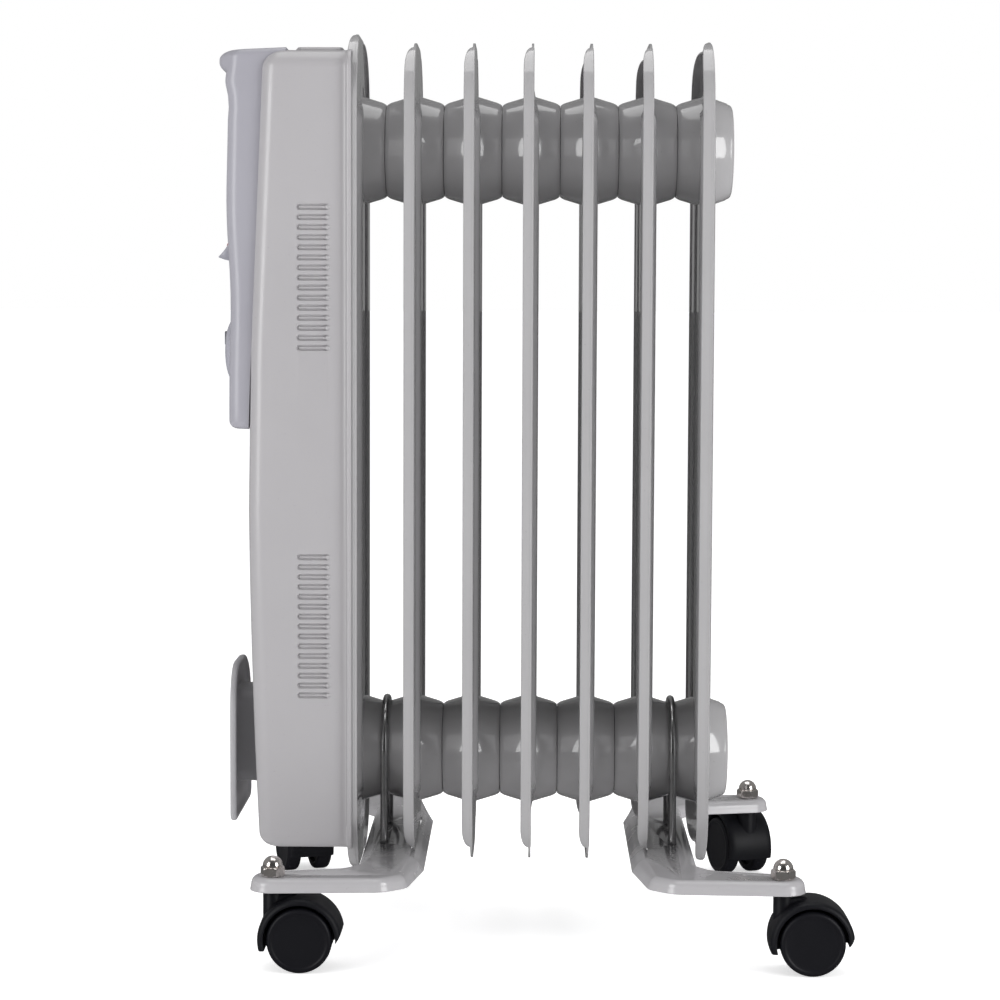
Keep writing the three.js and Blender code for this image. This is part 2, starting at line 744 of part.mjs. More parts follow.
function uBolt(name, side) {
  const { x, legY, rod: radius, bottom } = U_BOLT;
  const legs = [-1, 1].map((y) => rod('z', radius, bottom, HEADER.low + 0.5, side * x, y * legY, 8));
  const arch = new HalfTurn(
    new THREE.Vector3(side * x, 0, HEADER.low),
    new THREE.Vector3(0, -legY, 0),
    new THREE.Vector3(0, 0, legY),
  );
  return part(name, materials.chrome, union(...legs, bentBar(arch, radius, 10, 8)));
}

// A wing nut under the plate, on one leg of a clamp.
function wingNut(name, side, y) {
  const { rod: radius, x, legY } = U_BOLT;
  const high = FOOT.top - FOOT.sheet - GAP;
  const outline = [[4, -6.5], [12, -9.5], [14, -7], [12, -3.6], [4, -0.6]];
  const wings = [-1, 1].map((way) => {
    const points = outline.map(([u, v]) => new THREE.Vector2(way * u, v));
    return prism('y', points, -1, 1);
  });
  const hub = turned('z', [[0, -7], [4.6, -7], [6, 0], [0, 0]], 0, 0, 12);
  const nut = union(hub, ...wings).subtract(rod('z', radius + GAP, -12, 3, 0, 0, 12));
  const mesh = part(name, materials.zinc, nut);
  mesh.position.set(side * x, y * legY, high);
  mesh.rotation.z = 1.3 + side * y * 0.25;
  return mesh;
}

// --------------------------------------------------------------------------- casters
function stem(name) {
  const { stemRadius, stemTop, bossTop } = CASTER;
  const underside = FOOT.top - FOOT.sheet - GAP;
  const bar = rod('z', stemRadius, 26, stemTop, 0, 0, 8);
  return part(name, materials.zinc, bar.add(rod('z', 8, bossTop + GAP, underside, 0, 0, 10)));
}

function acornNut(name) {
  const seat = FOOT.top + GAP;
  const hex = rod('z', NUT.cornerRadius, seat, seat + NUT.hexHeight, 0, 0, 6);
  const round = [0, 30, 60, 90].map((degrees) => {
    const angle = THREE.MathUtils.degToRad(degrees);
    const radius = degrees === 90 ? 0 : NUT.domeRadius * Math.cos(angle);
    return [radius, seat + NUT.domeCentre + NUT.domeRadius * Math.sin(angle)];
  });
  const base = seat + NUT.hexHeight - 1;
  const dome = turned('z', [[0, base], [NUT.domeRadius, base], ...round], 0, 0, 12);
  const bore = rod('z', CASTER.stemRadius + GAP, seat - 2, CASTER.stemTop + GAP, 0, 0, 8);
  return part(name, materials.chrome, hex.add(dome).subtract(bore));
}

// Points on a circle about the wheel's centre, angles in degrees from the trailing side.
function arc(radius, from, to, steps) {
  const { offset, wheelRadius } = CASTER;
  return Array.from({ length: steps + 1 }, (_, i) => {
    const angle = THREE.MathUtils.degToRad(from + ((to - from) * i) / steps);
    return new THREE.Vector2(offset + radius * Math.cos(angle), wheelRadius + radius * Math.sin(angle));
  });
}

// The hood: two fenders on a middle web, with the boss that turns on the stem.
function hood(name) {
  const { hoodInner, hoodOuter, hoodHalfWidth, webHalf, bossRadius, bossTop } = CASTER;
  const { offset, wheelRadius } = CASTER;
  const fender = [...arc(hoodOuter, 10, 194, 11), ...arc(hoodInner, 196, -4, 11)];
  const web = [...arc(hoodInner + 1, -4, 196, 8), ...arc(9, 220, 320, 4)];
  const body = union(
    prism('y', fender, -hoodHalfWidth, hoodHalfWidth),
    prism('y', web, -webHalf, webHalf),
    rod('z', bossRadius, 20, bossTop, 0, 0, 12),
  );
  const bores = union(
    rod('z', clearBore(CASTER.stemRadius, 8), 24, bossTop + 5, 0, 0, 8),
    rod('y', CASTER.axleRadius + GAP, -30, 30, offset, wheelRadius, 8),
  );
  return part(name, materials.casterPlastic, body.subtract(bores));
}

function wheel(name, side) {
  const { wheelRadius, wheelInner, wheelOuter, axleRadius, offset } = CASTER;
  const sides = 16;
  const rim = wheelRadius / Math.cos(Math.PI / sides); // so that the flats are at the wheel's radius
  const bore = clearBore(axleRadius, sides);
  const profile = [[0, wheelOuter], [rim - 3.4, wheelOuter], [rim, wheelOuter - 2.6],
    [rim, wheelInner + 2], [rim - 1.6, wheelInner], [bore, wheelInner],
    [bore, wheelOuter - 1.4], [0, wheelOuter - 1.4]].map(([r, y]) => [r, side * y]);
  const mesh = part(name, materials.casterPlastic, turned('y', profile, 0, 0, sides, Math.PI / sides));
  mesh.position.set(offset, 0, wheelRadius);
  return mesh;
}

function axle(name) {
  const { axleRadius, offset, wheelRadius, wheelOuter } = CASTER;
  const reach = wheelOuter - 1.4 - GAP;
  const mesh = part(name, materials.zinc, rod('y', axleRadius, -reach, reach, 0, 0, 8));
  mesh.position.set(offset, 0, wheelRadius);
  return mesh;
}

function caster({ name, x, y, heading }) {
  const mount = new THREE.Group();
  mount.position.set(x * FOOT.stemX, y * FOOT.stemY, 0);
  const swivel = new THREE.Group();
  swivel.rotation.z = THREE.MathUtils.degToRad(heading);
  swivel.add(hood(`hood_${name}`), axle(`axle_${name}`));
  swivel.add(wheel(`wheel_${name}_a`, 1), wheel(`wheel_${name}_b`, -1));
  mount.add(stem(`stem_${name}`), acornNut(`nut_${name}`), swivel);
  return mount;
}

// -------------------------------------------------------------------------- assembly
const heater = new THREE.Group();
for (let i = 0; i < FIN.count; i += 1) heater.add(fin(i));
heater.add(heatingElement(), elementFlange(), fillerPlug());
heater.add(housing(), backPlate(), housingScrew(), topStrip(), cordGrommet());
heater.add(terminalBlock(), thermalCutout());
heater.add(controlPanel(), knob(), ...thermostatParts());
heater.add(...rockerSwitch(1), ...rockerSwitch(2), indicatorLens(), cordWrap());
for (const [end, side] of [['front', -1], ['rear', 1]]) {
  heater.add(foot(`foot_${end}`, side), uBolt(`u_bolt_${end}`, side));
  heater.add(wingNut(`wing_nut_${end}_right`, side, -1), wingNut(`wing_nut_${end}_left`, side, 1));
}
for (const each of CASTERS) heater.add(caster(each));

// The origin is at the bottom centre of the whole heater's bounding box.
const bounds = new THREE.Box3().setFromObject(heater, true);
const centre = bounds.getCenter(new THREE.Vector3());
heater.position.set(-centre.x, -centre.y, -bounds.min.z);

export default heater;
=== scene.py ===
"""Oil filled radiator heater: the finished surfaces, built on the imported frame.

Shapes are made in millimetres in the heater's own frame (X = 0 at the middle fin, Y = 0 on its
centre plane, Z = 0 on the floor) and are moved to the row frame, in metres, by Shell.piece.
"""

import json
import math

import bmesh
import bpy
from mathutils import Matrix, Vector


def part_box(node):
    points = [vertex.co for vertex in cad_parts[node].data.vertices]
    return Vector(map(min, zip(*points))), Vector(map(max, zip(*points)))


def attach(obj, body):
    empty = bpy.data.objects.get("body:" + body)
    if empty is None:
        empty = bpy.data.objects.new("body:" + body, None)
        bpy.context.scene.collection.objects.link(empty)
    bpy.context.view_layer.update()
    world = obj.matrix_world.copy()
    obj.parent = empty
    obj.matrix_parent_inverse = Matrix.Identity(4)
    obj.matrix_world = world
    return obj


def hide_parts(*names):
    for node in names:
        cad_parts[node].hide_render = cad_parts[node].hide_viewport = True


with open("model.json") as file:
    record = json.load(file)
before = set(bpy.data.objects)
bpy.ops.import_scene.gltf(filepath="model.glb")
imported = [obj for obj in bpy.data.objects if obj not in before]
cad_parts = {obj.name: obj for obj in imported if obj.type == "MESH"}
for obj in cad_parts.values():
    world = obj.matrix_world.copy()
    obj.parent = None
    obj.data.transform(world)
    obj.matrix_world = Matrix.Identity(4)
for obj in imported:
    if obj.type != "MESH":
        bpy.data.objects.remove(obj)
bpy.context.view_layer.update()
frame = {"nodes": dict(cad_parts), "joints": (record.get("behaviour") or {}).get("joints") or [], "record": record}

MM = 0.001
FIN_COUNT = 7
MIDDLE = f"fin_{(FIN_COUNT + 1) // 2}"


def middle_of(node):
    low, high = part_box(node)
    return (low + high) / 2


ORIGIN = Vector((middle_of(MIDDLE).x, middle_of(MIDDLE).y, 0))


def extent(node):
    """A node's lowest and highest corners in millimetres, in the heater's own frame."""
    low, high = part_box(node)
    return (low - ORIGIN) / MM, (high - ORIGIN) / MM


# ------------ sizes from the frame
PITCH = (middle_of("fin_6").x - middle_of("fin_2").x) / 4 / MM
FIN_HALF = extent(MIDDLE)[1].y
FIN_CORNER = 50
CUP_RADIUS = 39
SEAM_RADIUS = 31.5
HEADERS = (126, 557)
END_REACH = 20.4
CHANNEL = {"inner": 7, "neck": 20, "outer": 51, "slope": 11, "bottom": 79, "top": 604, "taper": 26}


def fin_x(number):
    return (number - (FIN_COUNT + 1) / 2) * PITCH


# ------------ mesh building
def linked(name, data):
    """A new object of the scene."""
    made = bpy.data.objects.new(name, data)
    bpy.context.scene.collection.objects.link(made)
    return made


class Shell:
    """Vertices and faces in millimetres, gathered from several closed forms."""

    def __init__(self):
        self.verts = []
        self.faces = []

    def add(self, verts, faces):
        base = len(self.verts)
        self.verts.extend(Vector(v) for v in verts)
        self.faces.extend([base + i for i in face] for face in faces)
        return self

    def join(self, other, matrix=None):
        verts = other.verts if matrix is None else [matrix @ v for v in other.verts]
        return self.add(verts, other.faces)

    def mesh(self, name, offset=(0, 0, 0)):
        """A Blender mesh of the forms, in metres, with every face turned outwards."""
        made = bpy.data.meshes.new(name)
        shift = Vector(offset)
        made.from_pydata([(v + shift) * MM + ORIGIN for v in self.verts], [], self.faces)
        work = bmesh.new()
        work.from_mesh(made)
        bmesh.ops.recalc_face_normals(work, faces=work.faces)
        work.to_mesh(made)
        work.free()
        return made

    def piece(self, name, finish, body="root", slot=None, replaces=(), sharp=35, offset=(0, 0, 0)):
        """Makes the Blender object, rides it on its body and gives it its finish."""
        mesh = self.mesh(name, offset)
        mesh.shade_smooth()
        mesh.set_sharp_from_angle(angle=math.radians(sharp))
        mesh.materials.append(finish.material)
        made = linked(name, mesh)
        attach(made, body)
        if replaces:
            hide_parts(*replaces)
        return made


def skin(rings, start_cap=True, end_cap=True, closed=True):
    """Joins a list of rings that all have the same number of points."""
    shell = Shell()
    count = len(rings[0])
    faces = []
    for r in range(len(rings) - 1):
        for i in range(count if closed else count - 1):
            j = (i + 1) % count
            a, b = r * count + i, r * count + j
            faces.append((a, b, b + count, a + count))
    if start_cap:
        faces.append(tuple(range(count))[::-1])
    if end_cap:
        last = (len(rings) - 1) * count
        faces.append(tuple(range(last, last + count)))
    return shell.add([p for ring in rings for p in ring], faces)


AXES = {"x": (1, 2, 0), "y": (0, 2, 1), "z": (0, 1, 2)}


def turned(axis, profile, centre, segments=64, closed=False):
    """A profile of [radius, distance along the axis] turned about `axis` through `centre`."""
    u, v, w = AXES[axis]
    rings = []
    for radius, along in profile + ([profile[0]] if closed else []):
        ring = []
        for s in range(segments):
            angle = 2 * math.pi * s / segments
            point = Vector(centre)
            point[u] += max(radius, 0.02) * math.cos(angle)
            point[v] += max(radius, 0.02) * math.sin(angle)
            point[w] += along
            ring.append(point)
        rings.append(ring)
    return skin(rings, not closed, not closed)


def rounded(corners, steps=6):
    """A closed outline of (u, v) points whose corners (u, v, radius) are rounded."""
    points = []
    for i, (u, v, radius) in enumerate(corners):
        at = Vector((u, v))
        if radius == 0:
            points.append(at)
            continue
        before = (Vector(corners[i - 1][:2]) - at).normalized()
        after = (Vector(corners[(i + 1) % len(corners)][:2]) - at).normalized()
        half = math.acos(max(-1, min(1, before.dot(after)))) / 2
        reach = radius / math.tan(half)
        centre = at + (before + after).normalized() * (radius / math.sin(half))
        first = at + before * reach - centre
        last = at + after * reach - centre
        turn = math.atan2(first.y, first.x)
        sweep = math.atan2(last.y, last.x) - turn
        sweep = (sweep + math.pi) % (2 * math.pi) - math.pi
        for s in range(steps + 1):
            angle = turn + sweep * s / steps
            points.append(centre + radius * Vector((math.cos(angle), math.sin(angle))))
    return points


def rectangle(u_low, v_low, u_high, v_high, radius, steps=6):
    corners = [(u_low, v_low), (u_high, v_low), (u_high, v_high), (u_low, v_high)]
    return rounded([(u, v, radius) for u, v in corners], steps)


def offset_outline(outline, distance):
    """Moves a counter-clockwise outline outwards by `distance`."""
    moved = []
    for i, point in enumerate(outline):
        a = (point - outline[i - 1]).normalized()
        b = (outline[(i + 1) % len(outline)] - point).normalized()
        normal = Vector((a.y + b.y, -a.x - b.x)).normalized()
        stretch = max(0.5, normal.dot(Vector((a.y, -a.x))))
        moved.append(point + normal * distance / stretch)
    return moved


def tube(path, radius, sides=16):
    """A round bar along a list of points."""
    rings = []
    side = None
    for i, point in enumerate(path):
        ahead = path[min(i + 1, len(path) - 1)]
        behind = path[max(i - 1, 0)]
        along = (ahead - behind).normalized()
        if side is None:
            side = along.orthogonal().normalized()
        side = (side - along * side.dot(along)).normalized()
        up = along.cross(side)
        turn = [2 * math.pi * s / sides for s in range(sides)]
        rings.append([point + radius * (math.cos(t) * side + math.sin(t) * up) for t in turn])
    return skin(rings)


def slab(outline, axis, levels):
    """Stacks an outline along an axis; levels are (distance along it, growth of the outline)."""
    u, v, w = AXES[axis]
    rings = []
    for along, grow in levels:
        ring = []
        for point in offset_outline(outline, grow):
            at = Vector((0, 0, 0))
            at[u], at[v], at[w] = point.x, point.y, along
            ring.append(at)
        rings.append(ring)
    return skin(rings)


def ease(t):
    t = max(0.0, min(1.0, t))
    return t * t * (3 - 2 * t)


def spaced(start, end, step):
    count = max(1, round(abs(end - start) / step))
    return [start + (end - start) * i / count for i in range(count + 1)]


def quarter(steps):
    """Angles from 0 to a right angle."""
    return [math.pi / 2 * i / steps for i in range(steps + 1)]


def rolled_edge(edge, radius, steps):
    """Levels (height, inset) that round an edge off; `radius` is negative at a top edge."""
    return [(edge + radius * (1 - math.cos(a)), abs(radius) * (1 - math.sin(a))) for a in quarter(steps)]


def cut(target, cutter_shell):
    """Cuts a shape out of a piece and throws the cutter away."""
    cutter = linked("cutter", cutter_shell.mesh("cutter"))
    modifier = target.modifiers.new("cut", "BOOLEAN")
    modifier.object = cutter
    modifier.solver = "EXACT"
    apply_modifiers(target)
    bpy.data.objects.remove(cutter)


def thicken(piece, thickness):
    """Gives a sheet its thickness, inwards."""
    sheet = piece.modifiers.new("sheet", "SOLIDIFY")
    sheet.thickness = thickness * MM
    sheet.offset = -1


def apply_modifiers(piece):
    bpy.context.view_layer.update()
    depsgraph = bpy.context.evaluated_depsgraph_get()
    final = bpy.data.meshes.new_from_object(piece.evaluated_get(depsgraph))
    piece.modifiers.clear()
    piece.data = final


# ------------ materials
def add_node(tree, kind, values=None, feeds=None, operation=None):
    """A new shader node; `values` sets its sockets and `feeds` links other nodes' outputs to them."""
    node = tree.nodes.new("ShaderNode" + kind)
    if operation:
        node.operation = operation
    for socket, value in (values or {}).items():
        node.inputs[socket].default_value = value
    for socket, output in (feeds or {}).items():
        tree.links.new(output, node.inputs[socket])
    return node


class Finish:
    """A Principled material with its nodes, in object coordinates."""

    def __init__(self, name, color, roughness, metallic=0.0, coat=0.0, specular=0.5):
        self.material = bpy.data.materials.new(name)
        self.material.use_nodes = True
        self.tree = self.material.node_tree
        self.shader = self.tree.nodes["Principled BSDF"]
        self.set("Roughness", roughness)
        self.set("Metallic", metallic)
        self.set("Coat Weight", coat)
        self.set("Coat Roughness", 0.03)
        self.set("Specular IOR Level", specular)
        self.set("Base Color", (*color, 1))
        self.color = color
        self.color_out = None
        self.place = add_node(self.tree, "TexCoord").outputs["Object"]
        self.normal = None

    def set(self, socket, value):
        """A constant on the shader's own socket."""
        self.shader.inputs[socket].default_value = value

    def noise(self, scale, detail=3.0, stretch=(1, 1, 1)):
        mapping = add_node(self.tree, "Mapping", {"Scale": stretch}, {"Vector": self.place})
        values = {"Scale": scale, "Detail": detail, "Roughness": 0.5}
        return add_node(self.tree, "TexNoise", values, {"Vector": mapping.outputs["Vector"]}).outputs["Fac"]

    def spread(self, value, low, high, to_low, to_high):
        """Maps low to high onto to_low to to_high, and holds the ends."""
        values = {"From Min": low, "From Max": high, "To Min": to_low, "To Max": to_high}
        return add_node(self.tree, "MapRange", values, {"Value": value}).outputs["Result"]

    def tint(self, mask, color):
        """Blends another colour in where the mask is 1."""
        mix = add_node(self.tree, "Mix")
        mix.data_type = "RGBA"
        if self.color_out is None:
            mix.inputs["A"].default_value = (*self.color, 1)
        else:
            self.tree.links.new(self.color_out, mix.inputs["A"])
        mix.inputs["B"].default_value = (*color, 1)
        self.tree.links.new(mask, mix.inputs["Factor"])
        self.color_out = mix.outputs["Result"]
        self.tree.links.new(self.color_out, self.shader.inputs["Base Color"])

    def shine(self, value):
        self.tree.links.new(value, self.shader.inputs["Roughness"])

    def bump(self, value, height):
        node = add_node(self.tree, "Bump", {"Distance": height * MM, "Strength": 1.0}, {"Height": value})
        if self.normal:
            self.tree.links.new(self.normal, node.inputs["Normal"])
        self.normal = node.outputs["Normal"]
        self.tree.links.new(self.normal, self.shader.inputs["Normal"])

    def spot(self, centre, radius):
        """A mask that is 1 at a point of the heater and fades to 0 at `radius` millimetres."""
        place = Vector(centre) * MM + ORIGIN
        node = add_node(self.tree, "VectorMath", {1: place}, {0: self.place}, "DISTANCE")
        return self.spread(node.outputs["Value"], radius * MM, 0, 0, 1)

    def product(self, a, b):
        return add_node(self.tree, "Math", {}, {0: a, 1: b}, "MULTIPLY").outputs["Value"]


def enamel(name, color, shade, roughness):
    """Stoved enamel: a glossy coat over faint clouding, orange peel and dust nibs."""
    finish = Finish(name, color, roughness, coat=1.0)
    cloud = finish.spread(finish.noise(9, 4), 0.35, 0.7, 0, 0.55)
    finish.tint(cloud, shade)
    nibs = finish.spread(finish.noise(620, 1), 0.74, 0.78, 0, 0.35)
    finish.tint(nibs, tuple(c * 0.7 for c in color))
    finish.shine(finish.spread(finish.noise(45, 3), 0.3, 0.7, roughness - 0.05, roughness + 0.07))
    finish.bump(finish.noise(260, 2), 0.035)
    return finish


def moulded(name, color, shade, roughness, grain=1500, depth=0.03, specular=0.5):
    """Moulded plastic: fine spark-eroded grain and flow clouding."""
    finish = Finish(name, color, roughness, specular=specular)
    finish.tint(finish.spread(finish.noise(14, 4), 0.35, 0.7, 0, 0.6), shade)
    finish.shine(finish.spread(finish.noise(40, 2), 0.3, 0.7, roughness - 0.02, roughness + 0.03))
    finish.bump(finish.noise(grain, 2), depth)
    return finish


def plated(name, color, shade, roughness, stretch=(1, 1, 1)):
    """Plated steel: bright metal with fine draw marks and faint tarnish."""
    finish = Finish(name, color, roughness, metallic=1.0)
    finish.tint(finish.spread(finish.noise(120, 4), 0.45, 0.75, 0, 0.7), shade)
    finish.shine(finish.spread(finish.noise(300, 3, stretch), 0.3, 0.7, roughness * 0.6, roughness * 1.7))
    finish.bump(finish.noise(900, 2, stretch), 0.008)
    return finish


fin_enamel = enamel("fin_enamel", (0.36, 0.355, 0.362), (0.325, 0.32, 0.327), 0.18)
foot_enamel = enamel("foot_enamel", (0.4, 0.392, 0.405), (0.36, 0.352, 0.365), 0.22)
foot_enamel.set("Coat Weight", 0.4)
foot_enamel.set("Coat Roughness", 0.1)
housing_paint = enamel("housing_paint", (0.36, 0.35, 0.362), (0.34, 0.33, 0.342), 0.36)
housing_paint.set("Coat Weight", 0.35)
housing_paint.set("Coat Roughness", 0.16)
panel_plastic = moulded("panel_plastic", (0.31, 0.305, 0.34), (0.29, 0.285, 0.32), 0.3, 1900, 0.012)
knob_plastic = moulded("knob_plastic", (0.32, 0.32, 0.365), (0.3, 0.3, 0.345), 0.34, 1900, 0.012)
wrap_plastic = moulded("wrap_plastic", (0.36, 0.355, 0.37), (0.33, 0.325, 0.34), 0.42, 1500, 0.02)
caster_plastic = moulded("caster_plastic", (0.0045, 0.0047, 0.0066), (0.0085, 0.0088, 0.0118), 0.46,
                         1300, 0.03, 0.2)
black_plastic = moulded("black_plastic", (0.02, 0.02, 0.022), (0.035, 0.035, 0.037), 0.38, 1500, 0.02)
chrome = plated("chrome", (0.86, 0.82, 0.79), (0.74, 0.66, 0.61), 0.12)
rod_steel = plated("rod_steel", (0.5, 0.5, 0.5), (0.36, 0.36, 0.36), 0.16, (1, 1, 0.05))
zinc_steel = plated("zinc_steel", (0.52, 0.52, 0.54), (0.4, 0.4, 0.38), 0.28)
brass = plated("brass", (0.6, 0.43, 0.18), (0.45, 0.3, 0.12), 0.25)
rubber = moulded("rubber", (0.025, 0.025, 0.026), (0.05, 0.05, 0.05), 0.75, 700, 0.06)
rocker_plastic = moulded("rocker_plastic", (0.31, 0.31, 0.35), (0.28, 0.28, 0.32), 0.3, 1900, 0.012)
post_plastic = moulded("post_plastic", (0.27, 0.265, 0.28), (0.24, 0.235, 0.25), 0.45, 1500, 0.02)
wheel_plastic = moulded("wheel_plastic", (0.0052, 0.0052, 0.0075), (0.0095, 0.0095, 0.0125), 0.42,
                        1100, 0.02, 0.2)
red_lens = Finish("red_lens", (0.5, 0.02, 0.015), 0.12)
red_lens.set("Transmission Weight", 0.35)
red_lens.tint(red_lens.spread(red_lens.noise(60, 2), 0.3, 0.8, 0, 0.6), (0.3, 0.01, 0.01))
red_lens.shine(red_lens.spread(red_lens.noise(200, 2), 0.3, 0.7, 0.08, 0.2))
red_lens.bump(red_lens.noise(500, 1), 0.01)
mark_paint = moulded("mark_paint", (0.08, 0.08, 0.1), (0.12, 0.12, 0.14), 0.5, 1500, 0.01)

RUST = (0.38, 0.17, 0.07)
scuff = foot_enamel.product(foot_enamel.spot((-187, -156, 59), 7), foot_enamel.noise(500, 4))
foot_enamel.tint(foot_enamel.spread(scuff, 0.16, 0.42, 0, 0.75), RUST)


# ------------ fins
FLANGE = (0.2, 1.8)
RISE = {"front": 3.9, "back": 5.6}
WELD_ROW = (200, 483, 56.6)
HEM_SIZES = ("left", "right", "crown", "lower_trim", "upper_trim", "draw_from")
MIDDLE_HEM = dict(zip(HEM_SIZES, (-5.4, 2.1, 0.35, 13, 4, 0.55)))
FIRST_HEM = dict(zip(HEM_SIZES, (-4.0, 3.6, 0.9, 0.4, 0.4, 0.42)))
LAST_HEM = dict(zip(HEM_SIZES, (-5.4, 2.9, 0.5, 0.6, 0.6, 0.42)))


def half_width(z, low, high):
    """Half the fin's width at a height, with its rounded corners."""
    depth = min(z - low, high - z)
    if depth >= FIN_CORNER:
        return FIN_HALF
    return FIN_HALF - FIN_CORNER + math.sqrt(max(0, FIN_CORNER ** 2 - (FIN_CORNER - depth) ** 2))


def channel_height(y, z):
    """How far a channel is raised at a point of the fin, from 0 to 1."""
    end = min(z - CHANNEL["bottom"], CHANNEL["top"] - z) / CHANNEL["taper"]
    outer = CHANNEL["neck"] + (CHANNEL["outer"] - CHANNEL["neck"]) * ease(end * 0.8)
    inside = min(abs(y) - CHANNEL["inner"], outer - abs(y)) / CHANNEL["slope"]
    return ease(inside) * ease(end)


def fin_heights(low, high):
    ends = [FIN_CORNER * (1 - math.cos(a)) for a in quarter(12)[:-1]]
    lower = low + FIN_CORNER
    upper = high - FIN_CORNER
    taper = CHANNEL["bottom"] + CHANNEL["taper"] + 6
    rows = [low + e for e in ends]
    rows += spaced(lower, taper, 3)[:-1]
    rows += spaced(taper, CHANNEL["top"] - CHANNEL["taper"] - 6, 16)[:-1]
    rows += spaced(CHANNEL["top"] - CHANNEL["taper"] - 6, upper, 3)
    rows += [high - e for e in reversed(ends)]
    return rows


def fin_plate(low, high):
    """The two pressed sheets, raised into the oil channels and closed round their edge."""
    right = [0, 3, 6, 8, 10, 12, 14, 16, 18, 21, 30, 39, 42, 44, 46, 48, 50, 53, 58, 64, 69, 71.2, FIN_HALF]
    columns = [-y for y in reversed(right[1:])] + right
    edge = 0.25
    loops = []
    for z in fin_heights(low, high):
        scale = half_width(z, low, high) / FIN_HALF
        front = []
        back = []
        for i, column in enumerate(columns):
            y = column * scale
            rise = channel_height(y, z)
            thin = edge if i in (0, len(columns) - 1) else 0
            front.append(Vector((FLANGE[1] - thin + RISE["front"] * rise, y, z)))
            back.append(Vector((FLANGE[0] + thin - RISE["back"] * rise, y, z)))
        loops.append(front + back[::-1])
    return skin(loops)


def hem_section(left, right, crown):
    """The rolled strip in section: (x, depth inside the fin's outline)."""
    middle = (left + right) / 2
    return [
        (left, 1.2), (left + 0.12, 0.7), (left + 0.5, 0.32), ((left + middle) / 2, crown * 0.35),
        (middle, 0), ((right + middle) / 2, crown * 0.35), (right - 0.5, 0.32), (right - 0.12, 0.7),
        (right, 1.2), (right - 0.3, 1.7), (middle, 1.75), (left + 0.3, 1.7),
    ]


def corner_point(side, angle, low, high):
    """A point of the fin's edge and its outward direction; angle 0 is level, on `side`."""
    upper = angle > 0
    centre_y = FIN_HALF - FIN_CORNER
    centre_z = (high if upper else low) + (-FIN_CORNER if upper else FIN_CORNER)
    outward = Vector((0, side * math.cos(angle), math.sin(angle)))
    return Vector((0, side * centre_y, centre_z)) + FIN_CORNER * outward, outward


def hem_strip(side, low, high, hem):
    """One upright rolled strip, whose ends draw in to the flange; `hem` gives its edges and trims."""
    lower = -math.asin(1 - hem["lower_trim"] / FIN_CORNER)
    upper = math.asin(1 - hem["upper_trim"] / FIN_CORNER)
    path = []
    for angle in spaced(lower, lower / 40, -lower / 30):
        path.append((*corner_point(side, angle, low, high), angle))
    for z in spaced(low + FIN_CORNER, high - FIN_CORNER, 40):
        path.append((Vector((0, side * FIN_HALF, z)), Vector((0, side, 0)), 0))
    for angle in spaced(upper / 40, upper, upper / 30):
        path.append((*corner_point(side, angle, low, high), angle))
    rings = []
    for point, outward, angle in path:
        share = angle / upper if angle > 0 else angle / lower
        drawn_in = max(0, (share - hem["draw_from"]) / (1 - hem["draw_from"]))
        wide = math.sqrt(max(0.0, 1 - drawn_in ** 2))
        left = FLANGE[0] - 0.2 + (hem["left"] - FLANGE[0] + 0.2) * wide
        right = FLANGE[1] + 0.2 + (hem["right"] - FLANGE[1] - 0.2) * wide
        section = hem_section(left, right, hem["crown"])
        rings.append([point + Vector((x, 0, 0)) - outward * d for x, d in section])
    return skin(rings)


def half_cup(side, closed_end):
    """Profile of one half of a header cup, from the fin outwards: [radius, distance]."""
    if closed_end:
        wall = [[CUP_RADIUS + 1.5, 1.2], [CUP_RADIUS - 0.2, 2.6], [CUP_RADIUS - 0.9, 4.5], [34.4, 15.2]]
        rim = [[33.6 - 3.6 * (1 - math.cos(a)), 15.6 + 3.6 * math.sin(a)] for a in
               (0.15, 0.45, 0.75, 1.05, 1.35)]
        dome = [[24, END_REACH - 0.75], [14, END_REACH - 0.3], [0, END_REACH - 0.1]]
        profile = wall + rim + dome
    else:
        seam = PITCH / 2 - 0.1
        wall = [[CUP_RADIUS + 1.2, 1.2], [CUP_RADIUS - 0.1, 2.4], [CUP_RADIUS - 0.7, 3.8],
                [34.3, seam - 3.4]]
        lip = [[33.6, seam - 1.9], [32.9, seam - 0.8], [SEAM_RADIUS + 0.9, seam - 0.2],
               [SEAM_RADIUS + 0.4, seam], [0, seam]]
        profile = wall + lip
    return [[r, side * x] for r, x in profile]


def header_cup(height, left_closed, right_closed):
    profile = half_cup(-1, left_closed)[::-1] + half_cup(1, right_closed)
    return turned("x", profile, (0, 0, height), 96)


def weld_spots():
    """The row of weld dimples between the two channels."""
    spots = Shell()
    for z in spaced(*WELD_ROW):
        for side in (-1, 1):
            face = 1.0 + side * 0.8
            profile = [[0, face + side * 0.05], [1.8, face + side * 0.1], [2.4, face + side * 0.5],
                       [3.1, face + side * 0.55], [3.8, face - side * 0.3]]
            spots.join(turned("x", profile, (0, 0, z), 20))
    return spots


def fin(number):
    name = f"fin_{number}"
    low, high = extent(name)[0].z, extent(name)[1].z
    x = fin_x(number)
    shell = Shell()
    shell.join(fin_plate(low, high))
    for height in HEADERS:
        shell.join(header_cup(height, number == 1, number == FIN_COUNT))
    hem = {1: FIRST_HEM, FIN_COUNT: LAST_HEM}.get(number, MIDDLE_HEM)
    for side in (-1, 1):
        shell.join(hem_strip(side, low, high, hem))
    shell.join(weld_spots())
    return shell.piece(f"{name}_shell", fin_enamel, "root", "enamel", [name], offset=(x, 0, 0))


for number in range(1, FIN_COUNT + 1):
    fin(number)

